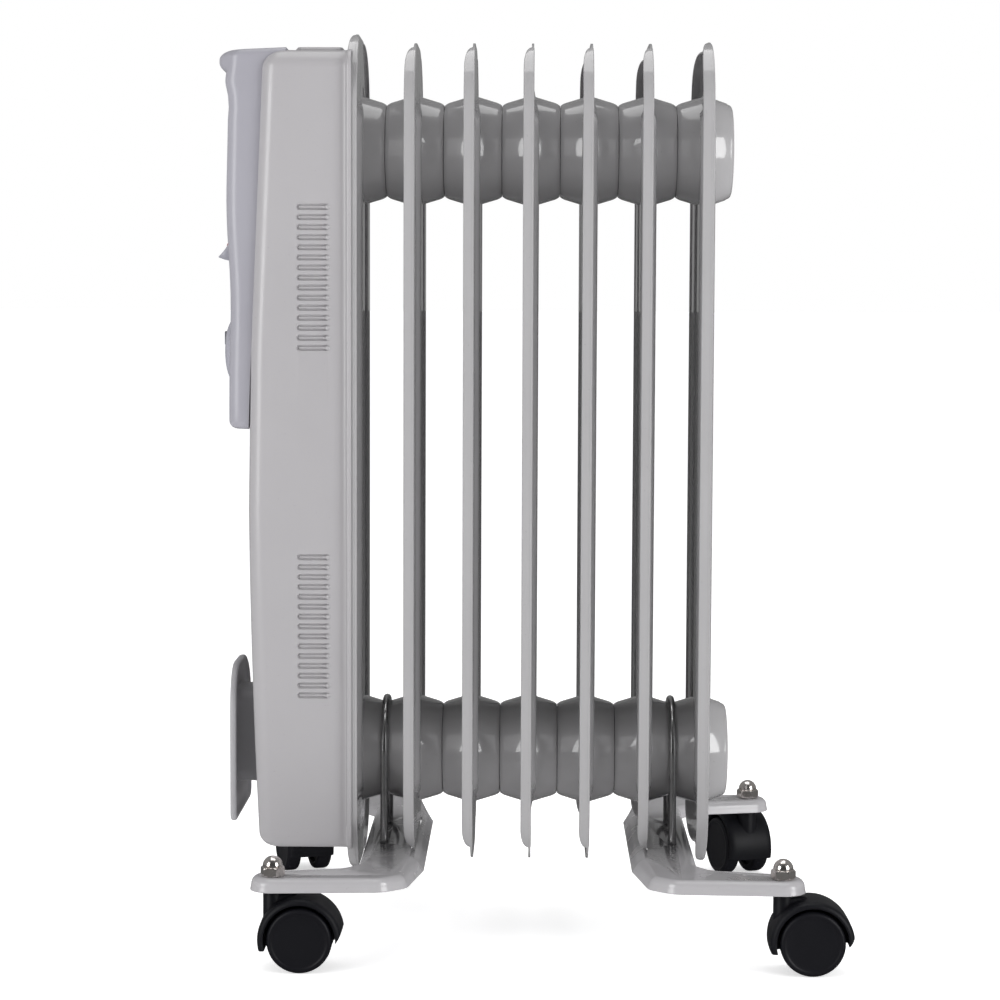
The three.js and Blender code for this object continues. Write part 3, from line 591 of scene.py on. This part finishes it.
# ------------ housing
HOUSING_LOW, HOUSING_HIGH = extent("housing")
HOUSING_BACK = HOUSING_HIGH.x
HOUSING_HALF = HOUSING_HIGH.y
EDGE = 11
HOUSING_ROLL = (11, 13)
HOUSING_CROWN = 1.6
BULGE_HEIGHT = 350
BELLY = 6 / 260 ** 2
LEAN = 0.044
LEAN_BLEND = 25
RIM = [(4.4, 5.0), (3.9, 5.3), (2.0, 5.3), (1.5, 4.9), (1.1, 2.6), (0.6, 0.9), (-0.4, 0.2), (-2.4, 0)]
LOUVRE = {"count": 15, "pitch": 6.95, "half_tall": 2.0, "left": -162, "right": -139, "depth": 1.9}
LOUVRE_GROUPS = (417.3, 174)
LOUVRE_ROWS = (-2.6, -2.2, -1.9, -1.6, -1.3, -0.9, -0.4, 0.4, 0.9, 1.3, 1.6, 1.9, 2.2, 2.6)


def front_x(z):
    """The bowed front of the housing."""
    rise = z - BULGE_HEIGHT
    if rise < 0:
        return HOUSING_LOW.x + BELLY * rise * rise
    return HOUSING_LOW.x + LEAN * (math.hypot(rise, LEAN_BLEND) - LEAN_BLEND)


def louvre_depth(x, z):
    """How deep the side of the housing is pressed in at a louvre."""
    for base in LOUVRE_GROUPS:
        nearest = round((z - base) / LOUVRE["pitch"])
        nearest = max(0, min(LOUVRE["count"] - 1, nearest))
        up = z - base - nearest * LOUVRE["pitch"]
        tall = LOUVRE["half_tall"]
        if abs(up) > tall + 0.8:
            continue
        middle = (LOUVRE["left"] + LOUVRE["right"]) / 2
        reach = (LOUVRE["right"] - LOUVRE["left"]) / 2 - tall
        aside = max(abs(x - middle) - reach, 0)
        inside = tall - math.hypot(aside, up)
        pip = max(0, 1 - math.hypot(x - LOUVRE["right"] + 1.6, up) / 1.9)
        groove = ease((inside + 0.3) / 0.9) - 0.55 * ease((inside - 0.7) / 0.9)
        return LOUVRE["depth"] * groove * (1 - ease(pip * 3)) - 1.1 * math.sqrt(pip)
    return 0.0


def housing_ring(z, inset, pressed=True):
    """One level section, drawn in by `inset` on its front and its sides; `pressed` adds the louvres."""
    front = front_x(z) + inset
    half = HOUSING_HALF - inset
    radius = max(3, EDGE - inset * 0.5)
    columns = [(HOUSING_BACK + along, flare) for along, flare in RIM]
    columns += [(x, 0) for x in spaced(LOUVRE["right"] + 1.2, LOUVRE["right"] - 3, 0.35)]
    columns += [(x, 0) for x in spaced(LOUVRE["right"] - 5, LOUVRE["left"] + 5, 2)]
    columns += [(x, 0) for x in spaced(LOUVRE["left"] + 3, LOUVRE["left"] - 1.2, 0.35)]
    columns += [(LOUVRE["left"] - 6, 0)]
    side = []
    for i, (x, flare) in enumerate(columns):
        x = max(x, front + radius + 2 + (len(columns) - i) * 0.01)
        side.append((x, half + flare - (louvre_depth(x, z) if pressed else 0)))
    centre = Vector((front + radius, half - radius))
    side += [(centre.x - radius * math.sin(a), centre.y + radius * math.cos(a)) for a in quarter(8)]
    flat = half - radius
    fade = min(1, 4 / (4 + inset))
    side += [(front - HOUSING_CROWN * (1 - share ** 2) * fade, flat * share) for share in (0.85, 0.6, 0.3)]
    ring = side + [(front - HOUSING_CROWN * fade, 0)] + [(x, -y) for x, y in reversed(side)]
    return [Vector((x, y, z)) for x, y in ring]


def housing_levels():
    low, high = HOUSING_LOW.z, HOUSING_HIGH.z
    bottom, top = HOUSING_ROLL
    levels = rolled_edge(low, bottom, 10)[:-1]
    rows = [low + bottom, 110, 140]
    for base in sorted(LOUVRE_GROUPS):
        for n in range(LOUVRE["count"]):
            centre = base + n * LOUVRE["pitch"]
            rows += [centre + up for up in LOUVRE_ROWS]
        rows += [rows[-1] + 12, rows[-1] + 30]
    rows += spaced(570, high - top, 10)
    levels += [(z, 0) for z in rows]
    return levels + rolled_edge(high, -top, 10)[-2::-1]


def housing():
    rings = [housing_ring(z, inset) for z, inset in housing_levels()]
    shell = skin(rings, True, True, closed=False)
    thicken(shell.piece("housing_shell", housing_paint, "root", "housing_paint", ["housing"], 50), 1.0)


housing()


def top_strip():
    """The raised strip on the housing's top, with sloped ends."""
    low, high = extent("top_strip")
    outline = rectangle(low.x + 1, low.y, high.x - 1, high.y, 5)
    levels = [(low.z - 0.4, 1.0), (low.z + 1.2, 0.4), (high.z - 0.7, -0.4), (high.z - 0.15, -0.9),
              (high.z, -1.8)]
    strip = slab(outline, "z", levels)
    strip.piece("top_strip_cap", housing_paint, "root", "housing_paint", ["top_strip"])


top_strip()

# ------------ control panel
PANEL_LOW, PANEL_HIGH = extent("control_panel")
PANEL_FRONT = -211
PANEL_EDGE = 9
PANEL_CROWN = 1.3
NOSE = {"height": 618.3, "radius": 7.7, "reach": 6.3}
PANEL_WAVES = ((1.75, 603, 9), (-0.8, 587, 7), (1.5, 515, 42), (-1.4, 452, 40))
KNOB_HEIGHT = sum(corner.z for corner in extent("thermostat_spindle")) / 2
LENS_HEIGHT = sum(corner.z for corner in extent("indicator_lens")) / 2


def panel_front(z):
    """The gently waved front of the panel, with a small dome under its nose."""
    return PANEL_FRONT - sum(rise * math.exp(-((z - at) / wide) ** 2) for rise, at, wide in PANEL_WAVES)


def nose(y, z):
    """How far the roll under the panel's top edge stands out; it fades towards both sides."""
    up = (z - NOSE["height"]) / NOSE["radius"]
    if abs(up) >= 1.25:
        return 0.0
    bulge = math.sqrt(max(0, 1 - min(1, abs(up)) ** 2)) * 0.75 + 0.25 * ease(1.25 - abs(up))
    return NOSE["reach"] * bulge * ease((PANEL_HIGH.y - 3 - abs(y)) / 13)


def panel_ring(z, inset):
    """One level section of the panel, from its back edge on one side round to the other."""
    half = PANEL_HIGH.y - inset
    radius = PANEL_EDGE
    front = panel_front(z) + inset
    back = PANEL_HIGH.x
    side = [(x, half) for x in (back, -180, -190, front + radius + 3)]
    side += [(front + radius * (1 - math.sin(a)), half - radius * (1 - math.cos(a))) for a in quarter(9)]
    flat = half - radius
    side += [(front - PANEL_CROWN * (1 - share ** 2), flat * share)
             for share in (0.93, 0.85, 0.75, 0.6, 0.4, 0.2)]
    ring = side + [(front - PANEL_CROWN, 0)] + [(x, -y) for x, y in reversed(side)]
    slope = 0.045 * ease((z - 585) / 38)
    return [Vector((x - nose(y, z), y, z - slope * (back - x))) for x, y in ring]


def control_panel():
    low, high = PANEL_LOW.z, PANEL_HIGH.z - 1.2
    bottom, top = 6, 5
    coarse, fine = spaced(low + bottom + 6, 600, 8), spaced(602, high - top, 1.2)[:-1]
    levels = rolled_edge(low, bottom, 8) + [(z, 0) for z in coarse + fine]
    levels += rolled_edge(high, -top, 8)[::-1]
    shell = skin([panel_ring(z, inset) for z, inset in levels])
    piece = shell.piece("control_panel_shell", panel_plastic, "root", "panel_plastic",
                        ["control_panel"], 50)
    cut(piece, panel_openings())


def rocker_window(low, high):
    return rectangle(low.y - 0.7, low.z - 1.6, high.y + 0.7, high.z + 1.2, 2)


def panel_openings():
    """The two rocker windows, and the room that the housing takes up inside the panel."""
    tools = Shell()
    low, high = extent("rocker_1")
    pitch = extent("rocker_2")[0].y - low.y
    for index in (0, 1):
        window = [p + Vector((index * pitch, 0)) for p in rocker_window(low, high)]
        tools.join(slab(window, "x", [(-203, 0), (PANEL_FRONT - 6, 0)]))
    rounds = [(z, inset) for z, inset in housing_levels() if inset > 0]
    levels = sorted(rounds + [(z, 0) for z in spaced(90, HOUSING_HIGH.z - 14, 16)])
    rings = [housing_ring(z, inset, False) for z, inset in levels]
    return tools.join(skin(rings))


control_panel()


def knob():
    """The thermostat knob: a fluted, domed disc with a raised pointer."""
    low, high = extent("knob")
    centre_z = KNOB_HEIGHT
    radius = high.y
    back = PANEL_FRONT - 0.3
    depth = back - low.x - 0.9
    dome = depth - 1.4
    profile = [(radius * share, 1.4 + dome * math.sqrt(1 - share ** 2.4))
               for share in (0, 0.2, 0.4, 0.55, 0.68, 0.78, 0.86, 0.92, 0.96, 0.985)]
    profile += [(radius, 0.9), (radius, 0.1), (radius - 0.8, -0.1), (4, -0.1), (3.6, 3)]
    segments = 144
    rings = []
    for r, out in profile:
        ring = []
        for s in range(segments):
            angle = 2 * math.pi * s / segments
            flute = 0.3 * math.cos(angle * 36) if radius * 0.9 < r < radius - 0.1 and out > 1.5 else 0
            reach = max(r + flute, 0.02)
            ring.append(Vector((back - out, reach * math.cos(angle), centre_z + reach * math.sin(angle))))
        rings.append(ring)
    skin(rings).piece("knob_cap", knob_plastic, "knob", "panel_plastic", ["knob"], sharp=45)
    pointer = rounded([(-1.3, centre_z + 4, 1.2), (1.3, centre_z + 4, 1.2), (1.0, centre_z + 14, 0.9),
                       (-1.0, centre_z + 14, 0.9)])
    front = back - depth
    levels = [(back - 1, 0), (front - 0.1, 0), (front - 0.6, -0.25), (front - 0.85, -0.6)]
    slab(pointer, "x", levels).piece("knob_pointer", mark_paint, "knob", "black_plastic")


knob()


def dial_marks():
    """Raised dots round the knob that grow with the heat setting."""
    marks = Shell()
    count = 9
    for i in range(count):
        angle = math.radians(90 + 135 - 270 * i / (count - 1))
        reach = extent("knob")[1].y + 5
        size = 0.7 + 0.13 * i
        centre = (panel_front(KNOB_HEIGHT), reach * math.cos(angle), KNOB_HEIGHT + reach * math.sin(angle))
        dot = [[0, -0.75], [size * 0.7, -0.65], [size, -0.3], [size, 0.8], [0, 0.8]]
        marks.join(turned("x", dot, centre, 16))
    marks.piece("dial_marks", mark_paint, "root", "black_plastic")


dial_marks()


def rocker(number):
    """A rocker key with a smoked red upper half, standing out at its lower end."""
    name = f"rocker_{number}"
    low, high = extent(name)
    middle_z = (low.z + high.z) / 2
    tall = (high.z - low.z) / 2
    pivot = high.x
    face = [(-4.6, 1), (-6.2, 0.6), (-8.2, 0.2), (-10.2, -0.12), (-12.4, -0.4), (-14.3, -0.6),
            (-14.7, -0.66), (-14.2, -0.72), (-10, -0.87), (-6, -0.97), (-2, -0.95), (0, -0.6), (0, 0.6),
            (-2, 1)]
    outline = [Vector((pivot + x, middle_z + tall * share)) for x, share in face]
    half = (high.y - low.y) / 2
    centre = (high.y + low.y) / 2
    levels = [(centre - half, 0.9), (centre - half + 0.25, 0.35), (centre - half + 0.9, 0),
              (centre + half - 0.9, 0), (centre + half - 0.25, 0.35), (centre + half, 0.9)]
    rings = []
    for y, inset in levels:
        middle = Vector((pivot - 6, middle_z))
        ring = []
        for point in outline:
            drawn = point + (middle - point).normalized() * inset
            ring.append(Vector((drawn.x, y, drawn.y)))
        rings.append(ring)
    skin(rings).piece(f"{name}_key", rocker_plastic, name, "panel_plastic", [name], sharp=50)
    rings = []
    for y, inset in ((centre - half + 1.1, 0.4), (centre - half + 1.7, 0), (centre + half - 1.7, 0),
                     (centre + half - 1.1, 0.4)):
        profile = [(-5.3 + inset, tall * 0.92), (-6.9 + inset, tall * 0.6), (-8.9 + inset, tall * 0.2),
                   (-7.0, tall * 0.16), (-4, tall * 0.7)]
        rings.append([Vector((pivot + x, y, middle_z + z)) for x, z in profile])
    skin(rings).piece(f"{name}_lens", red_lens, name, "red_lens")


def rocker_bezel(number):
    """The raised frame round one rocker's window."""
    low, high = extent(f"rocker_{number}")
    window = rocker_window(low, high)
    face = panel_front((low.z + high.z) / 2) + 0.2
    rings = []
    for along, grow in ((4, 0), (4, 0.3), (-0.7, 0.4), (-1.0, 0.8), (-1.0, 1.5), (-0.6, 2.1), (0.6, 2.4),
                        (0.6, 0.05)):
        rings.append([Vector((face + along, p.x, p.y)) for p in offset_outline(window, grow)])
    bezel = skin(rings + rings[:1], False, False)
    bezel.piece(f"rocker_{number}_bezel", knob_plastic, "root", "panel_plastic")


for number in (1, 2):
    rocker(number)
    rocker_bezel(number)


def indicator():
    """The round pilot lens, domed and ribbed, in a thin ring."""
    low, high = extent("indicator_lens")
    radius = high.z - LENS_HEIGHT
    seat = PANEL_FRONT - 0.3
    centre = (seat, 0, LENS_HEIGHT)
    tip = low.x - seat
    dome = [[0, tip], [3.5, tip + 0.35], [3.9, tip + 0.75], [4.4, tip + 0.5], [6.2, tip + 1.5],
            [6.6, tip + 2.0], [7.0, tip + 1.9], [7.9, -2.6], [8.3, -1.2], [8.3, 0.6], [0, 0.6]]
    lens = turned("x", dome, centre, 48)
    lens.piece("indicator_dome", red_lens, "root", "red_lens", ["indicator_lens"])
    edge = [[8.2, 0.8], [8.2, -1.5], [8.5, -2.0], [9.1, -2.0], [9.6, -1.5], [radius, -0.6], [radius, 0.8]]
    ring = turned("x", edge, centre, 48, closed=True)
    ring.piece("indicator_ring", knob_plastic, "root", "panel_plastic")


indicator()


# ------------ cord wrap
WRAP_BOW = 1.0


def wrap_point(point, along, low, high):
    """A point of the plate, which bows back very slightly towards its sides."""
    return Vector((low.x + 1.2 + WRAP_BOW * (point.x / high.y) ** 2 + along, point.x, point.y))


def cord_wrap():
    """The bowed plate that the cord is wound behind, and the post that holds it."""
    low, high = extent("cord_wrap")
    half, top = high.y, high.z - 3
    outline = rounded([(-half, low.z, 8), (half, low.z, 8), (half, top, 34), (-half, top, 34)], 8)
    middle = Vector((0, (low.z + high.z) / 2))
    rim = [(4.4, -3.2), (4.6, -2.4), (4.6, -1.4), (4.2, -0.5), (3.4, 0), (1.4, 0), (0.5, -0.4),
           (0.1, -1.3), (0, -2.6)]
    rings = [[wrap_point(p, along, low, high) for p in offset_outline(outline, grow)]
             for along, grow in rim]
    face = offset_outline(outline, -2.6)
    for share in (0.85, 0.65, 0.45, 0.25, 0.08):
        rings.append([wrap_point(middle + (p - middle) * share, 0, low, high) for p in face])
    back = []
    inside = offset_outline(outline, -3.6)
    for share in (0.08, 0.25, 0.45, 0.65, 0.85, 0.98):
        back.append([wrap_point(middle + (p - middle) * share, 2.8, low, high) for p in inside])
    shell = skin(back + rings)
    shell.piece("cord_wrap_plate", wrap_plastic, "root", "wrap_plastic", ["cord_wrap"], sharp=50)
    post = rectangle(-26, 104, 26, 171, 11, 8)
    seat = front_x(140) - 0.2
    start = low.x + 3.5
    levels = [(start, 1.6), (start + 1, 0.6), (start + 3, 0), (-200, 0), (seat - 1.6, 0.4),
              (seat - 0.5, 1.2), (seat, 2.2)]
    slab(post, "x", levels).piece("cord_wrap_post", post_plastic, "root", "wrap_plastic", sharp=50)


cord_wrap()

# ------------ feet and clamps
FOOT_TOP = extent("foot_rear")[1].z
FOOT_BOTTOM = extent("foot_rear")[0].z
STEM = {"x": 172, "y": 144}
U_BOLT = {"x": 103, "y": 36.2, "rod": 2.7}
THREAD = {"pitch": 0.9, "root": 2.55, "crest": 2.98}


def foot_outline(side):
    """Plan of a foot at its top; side is +1 for the rear foot and -1 for the front one."""
    end = 12.8
    half = [(75, -86, 20), (84, -140, 12), (99, -152.6, 18), (STEM["x"] + end, -STEM["y"] - end, end - 0.4),
            (STEM["x"] + end, -STEM["y"] + end, 12), (126, -117.6, 14), (115.2, -102, 9)]
    corners = half + [(x, -y, r) for x, y, r in reversed(half)]
    outline = rounded(corners, 7)
    if side > 0:
        return outline
    return [Vector((-p.x, p.y)) for p in reversed(outline)]


def foot(name, side):
    """A pressed pan: a plate with softly rolled edges, slotted for the fin above it."""
    outline = foot_outline(side)
    high, low = FOOT_TOP, FOOT_BOTTOM
    levels = [(low, 2.5), (low + 0.5, 2.45), (low + 2, 2.1)]
    levels += [(high - 5 * (1 - math.sin(a)), 1.8 - 5.2 * (1 - math.cos(a))) for a in quarter(8)]
    rings = []
    for z, grow in levels:
        share = (high - z) / (high - low)
        ring = []
        for p in offset_outline(outline, grow):
            inner = ease((92 - side * p.x) / 12) * ease((150 - abs(p.y)) / 30)
            ring.append(Vector((p.x + side * 4.5 * (1 - share) * inner, p.y, z)))
        rings.append(ring)
    piece = skin(rings, False, True).piece(f"{name}_pan", foot_enamel, "root", "enamel", [name], sharp=60)
    thicken(piece, 1.3)
    apply_modifiers(piece)
    tools = Shell()
    plate = 2 * PITCH
    slot = rectangle(plate + FLANGE[0] - 0.7, -54, plate + FLANGE[1] + 0.7, 54, 1)
    if side < 0:
        slot = [Vector((p.x - 2 * plate, p.y)) for p in slot]
    tools.join(slab(slot, "z", [(low - 5, 0), (high + 5, 0)]))
    for y in (-1, 1):
        for radius, hole in ((3.4, U_BOLT), (4.4, STEM)):
            bore = [[radius, low - 5], [radius, high + 5]]
            tools.join(turned("z", bore, (side * hole["x"], y * hole["y"], 0), 32))
    cut(piece, tools)


def u_bolt(name, side):
    """A bent rod over the lower header, with rolled thread on the ends of its legs."""
    low = extent(name)[0].z
    x = side * U_BOLT["x"]
    arch = [Vector((x, -U_BOLT["y"] * math.cos(a), HEADERS[0] + U_BOLT["y"] * math.sin(a)))
            for a in (math.pi * i / 40 for i in range(41))]
    up = [Vector((x, -U_BOLT["y"], z)) for z in spaced(low + 12, HEADERS[0] - 2, 12)]
    down = [Vector((p.x, -p.y, p.z)) for p in reversed(up)]
    bar = tube(up + arch + down, U_BOLT["rod"], 20)
    for y in (-1, 1):
        profile = [[0, low]]
        for turn in range(14):
            start = low + turn * THREAD["pitch"]
            profile += [[THREAD["root"], start + 0.2], [THREAD["crest"], start + 0.65]]
        profile += [[2.6, low + 13], [0, low + 13.4]]
        bar.join(turned("z", profile, (x, y * U_BOLT["y"], 0), 20))
    bar.piece(name + "_rod", rod_steel, "root", "chrome", [name])


for end, side in (("front", -1), ("rear", 1)):
    foot(f"foot_{end}", side)
    u_bolt(f"u_bolt_{end}", side)

# ------------ casters
WHEEL = {"radius": 22, "inner": 6.8, "outer": 18}
TRAIL = 19
HOOD = {"inner": 24.3, "outer": 28.5, "half": 17.6}


def on_stem(name, heading):
    """Where a piece stands that is turned by `heading` on a caster's stem."""
    low, high = extent(f"stem_{name}")
    middle = ((low.x + high.x) / 2, (low.y + high.y) / 2, 0)
    return Matrix.Translation(middle) @ Matrix.Rotation(heading, 4, "Z")


def caster_matrix(name):
    """Where a caster stands: on its stem, turned to the way its wheels trail."""
    axis = next(j["axis"] for j in frame["joints"] if j["name"] == f"roll_{name}_a")
    return on_stem(name, math.atan2(-axis[0], axis[1]))


def fender_ring(share):
    """A section of the hood at a share of the way round it; its trailing end is cut on a slant."""
    outer_angle = math.radians(10 + 184 * share)
    inner_angle = math.radians(-4 + 200 * share)
    half = HOOD["half"]
    edge = [(HOOD["inner"], 0.2), (25.4, -0.3), (26.6, 0), (27.6, 0.9), (28.2, 2.4), (HOOD["outer"], 5)]
    section = [(radius, -half + inside) for radius, inside in edge] + [(HOOD["outer"] + 0.15, 0)]
    section += [(radius, half - inside) for radius, inside in reversed(edge)] + [(HOOD["inner"] + 0.1, 0)]
    ring = []
    for radius, y in section:
        blend = (radius - HOOD["inner"]) / (HOOD["outer"] - HOOD["inner"])
        angle = inner_angle + (outer_angle - inner_angle) * min(1, blend)
        along, up = radius * math.cos(angle), radius * math.sin(angle)
        ring.append(Vector((TRAIL + along, y, WHEEL["radius"] + up)))
    return ring


def hood(name):
    """Two fenders on a middle web, and the boss that turns on the stem."""
    shell = skin([fender_ring(i / 56) for i in range(57)])
    reach = HOOD["inner"] + 1
    web = [Vector((TRAIL + reach * math.cos(a), WHEEL["radius"] + reach * math.sin(a)))
           for a in (math.radians(-4 + 200 * i / 24) for i in range(25))]
    web += [Vector((TRAIL + 9 * math.cos(a), WHEEL["radius"] + 9 * math.sin(a)))
            for a in (math.radians(220 + 100 * i / 8) for i in range(9))]
    rings = [[Vector((p.x, y, p.y)) for p in offset_outline(web, grow)] for y, grow in
             ((-2.6, -0.5), (-2.1, 0), (2.1, 0), (2.6, -0.5))]
    shell.join(skin(rings))
    top = extent(f"hood_{name}")[1].z
    boss = [[0, 24], [6.6, 24], [6.6, top - 1.2], [6.2, top - 0.4], [5.4, top], [4.3, top],
            [4.3, top - 3], [0, top - 3]]
    shell.join(turned("z", boss, (0, 0, 0), 40))
    gusset = rounded([(-3.4, -5.6, 2), (17, -4.4, 3), (17, 4.4, 3), (-3.4, 5.6, 2)])
    shell.join(slab(gusset, "z", [(44, 0), (49.6, 0), (50.6, -0.5), (51.2, -1.6)]))
    placed = Shell().join(shell, caster_matrix(name))
    placed.piece(f"hood_{name}_cover", caster_plastic, f"caster_{name}", "caster_plastic",
                 [f"hood_{name}"], sharp=38)


def wheel(name, letter, side):
    """A dished disc wheel with a raised rim and a rounded tread."""
    radius, inner, outer = WHEEL["radius"], WHEEL["inner"], WHEEL["outer"]
    face = [(0, 1.0), (8, 0.95), (16, 0.75), (17.8, 0.7), (18.5, 0.4), (19.0, 0.05), (19.5, 0),
            (20.2, 0.05), (21.0, 0.45), (21.6, 1.2), (21.9, 2.2), (radius, 3.4)]
    back = [(radius, 3), (21.7, 1.2), (21.0, 0.4), (20, 0), (17, 0.2), (16, 3), (6, 3), (5.4, 0), (3.3, 0)]
    profile = [(r, outer - depth) for r, depth in face] + [(r, inner + depth) for r, depth in back]
    profile += [(3.3, outer - 2.4), (0, outer - 2.4)]
    shell = turned("y", [[r, side * y] for r, y in profile], (TRAIL, 0, radius), 80)
    placed = Shell().join(shell, caster_matrix(name))
    node = f"wheel_{name}_{letter}"
    placed.piece(f"{node}_disc", wheel_plastic, node, "caster_plastic", [node], sharp=40)


def acorn_nut(name):
    """A domed nut: chamfered hexagon, groove and polished cap."""
    seat = FOOT_TOP + 0.3
    flat, dome_radius = 7.3, 6.8
    steps = 72
    turn = [2 * math.pi * s / steps for s in range(steps)]
    rings = []
    for up, limit in ((0, 7.6), (0.3, 8.0), (0.7, 8.45), (5.0, 8.45), (5.5, 8.1), (5.9, 7.6), (6.1, 7.1)):
        ring = []
        for t in turn:
            corner = (t + math.pi / 6) % (math.pi / 3) - math.pi / 6
            reach = min(flat / math.cos(corner), limit)
            ring.append(Vector((reach * math.cos(t), reach * math.sin(t), seat + up)))
        rings.append(ring)
    dome = [(6.6, 6.15), (dome_radius, 6.5)]
    dome += [(dome_radius * math.cos(a), 6.55 + 6.7 * math.sin(a)) for a in quarter(12)[1:-1]]
    dome += [(0.05, 13.25)]
    for radius, up in dome:
        rings.append([Vector((radius * math.cos(t), radius * math.sin(t), seat + up)) for t in turn])
    nut = Shell().join(skin(rings), on_stem(name, 0.35))
    nut.piece(f"nut_{name}_cap", chrome, "root", "chrome", [f"nut_{name}"], sharp=32)


for name in ("front_right", "rear_right", "front_left", "rear_left"):
    hood(name)
    wheel(name, "a", 1)
    wheel(name, "b", -1)
    acorn_nut(name)

# ------------ camera and lighting
CAMERA_PLACE = Vector((1.2, -1850, 447))
CAMERA_PITCH = 0.0756
CAMERA_YAW = 0.0122
CAMERA_ROLL = 0.0038
FOCAL_PIXELS = 2566.7
SENSOR = 36
IMAGE = 1000
ROOM = {"dim": 0.16, "bright": 0.8, "mirrored": 0.28}
SOFTBOXES = {
    "left_box": ((-1.55, -1.35, 0.75), 0.9, 1.3, 17),
    "right_box": ((1.55, -1.35, 0.75), 0.9, 1.3, 20),
    "top_box": ((0.0, 0.15, 2.3), 1.6, 1.7, 14),
}
LIT_POINT = Vector((0, 0, 0.35))
FLOOR = {"size": 400, "glow": 0.55, "mirrored": (0.12, 0.12, 0.12, 1)}


def camera():
    data = bpy.data.cameras.new("camera")
    data.sensor_width = SENSOR
    data.lens = FOCAL_PIXELS * SENSOR / IMAGE
    data.clip_end = 500
    made = linked("camera", data)
    forward = Vector((
        -math.sin(CAMERA_YAW) * math.cos(CAMERA_PITCH),
        math.cos(CAMERA_YAW) * math.cos(CAMERA_PITCH),
        -math.sin(CAMERA_PITCH),
    ))
    right = forward.cross(Vector((0, 0, 1))).normalized()
    up = right.cross(forward)
    turned_right = right * math.cos(CAMERA_ROLL) + up * math.sin(CAMERA_ROLL)
    turned_up = -right * math.sin(CAMERA_ROLL) + up * math.cos(CAMERA_ROLL)
    axes = Matrix((turned_right, turned_up, -forward)).transposed()
    made.matrix_world = Matrix.Translation(CAMERA_PLACE * MM + ORIGIN) @ axes.to_4x4()
    bpy.context.scene.camera = made


def softbox(name, place, width, height, power):
    data = bpy.data.lights.new(name, "AREA")
    data.shape = "RECTANGLE"
    data.size = width
    data.size_y = height
    data.energy = power
    made = linked(name, data)
    made.location = place
    made.rotation_mode = "QUATERNION"
    made.rotation_quaternion = (LIT_POINT - Vector(place)).to_track_quat("-Z", "Y")
    made.visible_camera = False


def studio():
    """A white room, dimmer on the camera's side and in reflections, and three softboxes."""
    world = bpy.data.worlds.new("studio")
    bpy.context.scene.world = world
    world.use_nodes = True
    tree = world.node_tree
    background = tree.nodes["Background"]
    place = add_node(tree, "TexCoord").outputs["Generated"]
    split = add_node(tree, "SeparateXYZ", {}, {"Vector": place})
    values = {"From Min": -0.95, "From Max": 0.2, "To Min": ROOM["dim"], "To Max": ROOM["bright"]}
    ramp = add_node(tree, "MapRange", values, {"Value": split.outputs["Y"]})
    ramp.interpolation_type = "SMOOTHSTEP"
    ray = add_node(tree, "LightPath").outputs
    mirrored = add_node(tree, "Math", {1: ROOM["mirrored"] - 1, 2: 1.0}, {0: ray["Is Glossy Ray"]},
                        "MULTIPLY_ADD")
    dimmed = add_node(tree, "Math", {}, {0: ramp.outputs["Result"], 1: mirrored.outputs["Value"]},
                      "MULTIPLY")
    feeds = {"Factor": ray["Is Camera Ray"], "A": dimmed.outputs["Value"]}
    strength = add_node(tree, "Mix", {"B": 1.0}, feeds)
    tree.links.new(strength.outputs["Result"], background.inputs["Strength"])
    background.inputs["Color"].default_value = (1, 1, 1, 1)
    for name, settings in SOFTBOXES.items():
        softbox(name, *settings)


def floor():
    """Pale paper that glows a little, and is dark in reflections."""
    bpy.ops.mesh.primitive_plane_add(size=FLOOR["size"])
    made = bpy.context.object
    made.name = "floor"
    surface = Finish("floor_paper", (0.93, 0.93, 0.93), 0.7, specular=0.2)
    surface.tint(surface.spread(surface.noise(3, 3), 0.3, 0.7, 0, 1), (0.91, 0.91, 0.915))
    surface.bump(surface.noise(80, 2), 0.05)
    surface.set("Emission Color", (1, 1, 1, 1))
    surface.set("Emission Strength", FLOOR["glow"])
    tree = surface.tree
    shade = add_node(tree, "BsdfDiffuse", {"Color": FLOOR["mirrored"]})
    ray = add_node(tree, "LightPath").outputs
    feeds = {"Fac": ray["Is Glossy Ray"], 1: surface.shader.outputs["BSDF"], 2: shade.outputs["BSDF"]}
    choice = add_node(tree, "MixShader", {}, feeds)
    end = next(node for node in tree.nodes if node.type == "OUTPUT_MATERIAL")
    tree.links.new(choice.outputs["Shader"], end.inputs["Surface"])
    made.data.materials.append(surface.material)


camera()
studio()
floor()
bpy.context.scene.view_settings.view_transform = "Standard"

# ------------ finishes on CAD nodes
CARRIED = {
    "enamel": foot_enamel, "housing_paint": housing_paint, "panel_plastic": panel_plastic,
    "wrap_plastic": wrap_plastic, "caster_plastic": caster_plastic, "chrome": chrome,
    "zinc_steel": zinc_steel, "brass": brass, "red_lens": red_lens,
    "black_plastic": black_plastic, "rubber": rubber,
}
SLOT_OF = {part["node"]: part["material_slot"] for part in frame["record"]["subparts"]}
for name, node in frame["nodes"].items():
    if not node.hide_render:
        node.data.materials.clear()
        node.data.materials.append(CARRIED[SLOT_OF[name]].material)
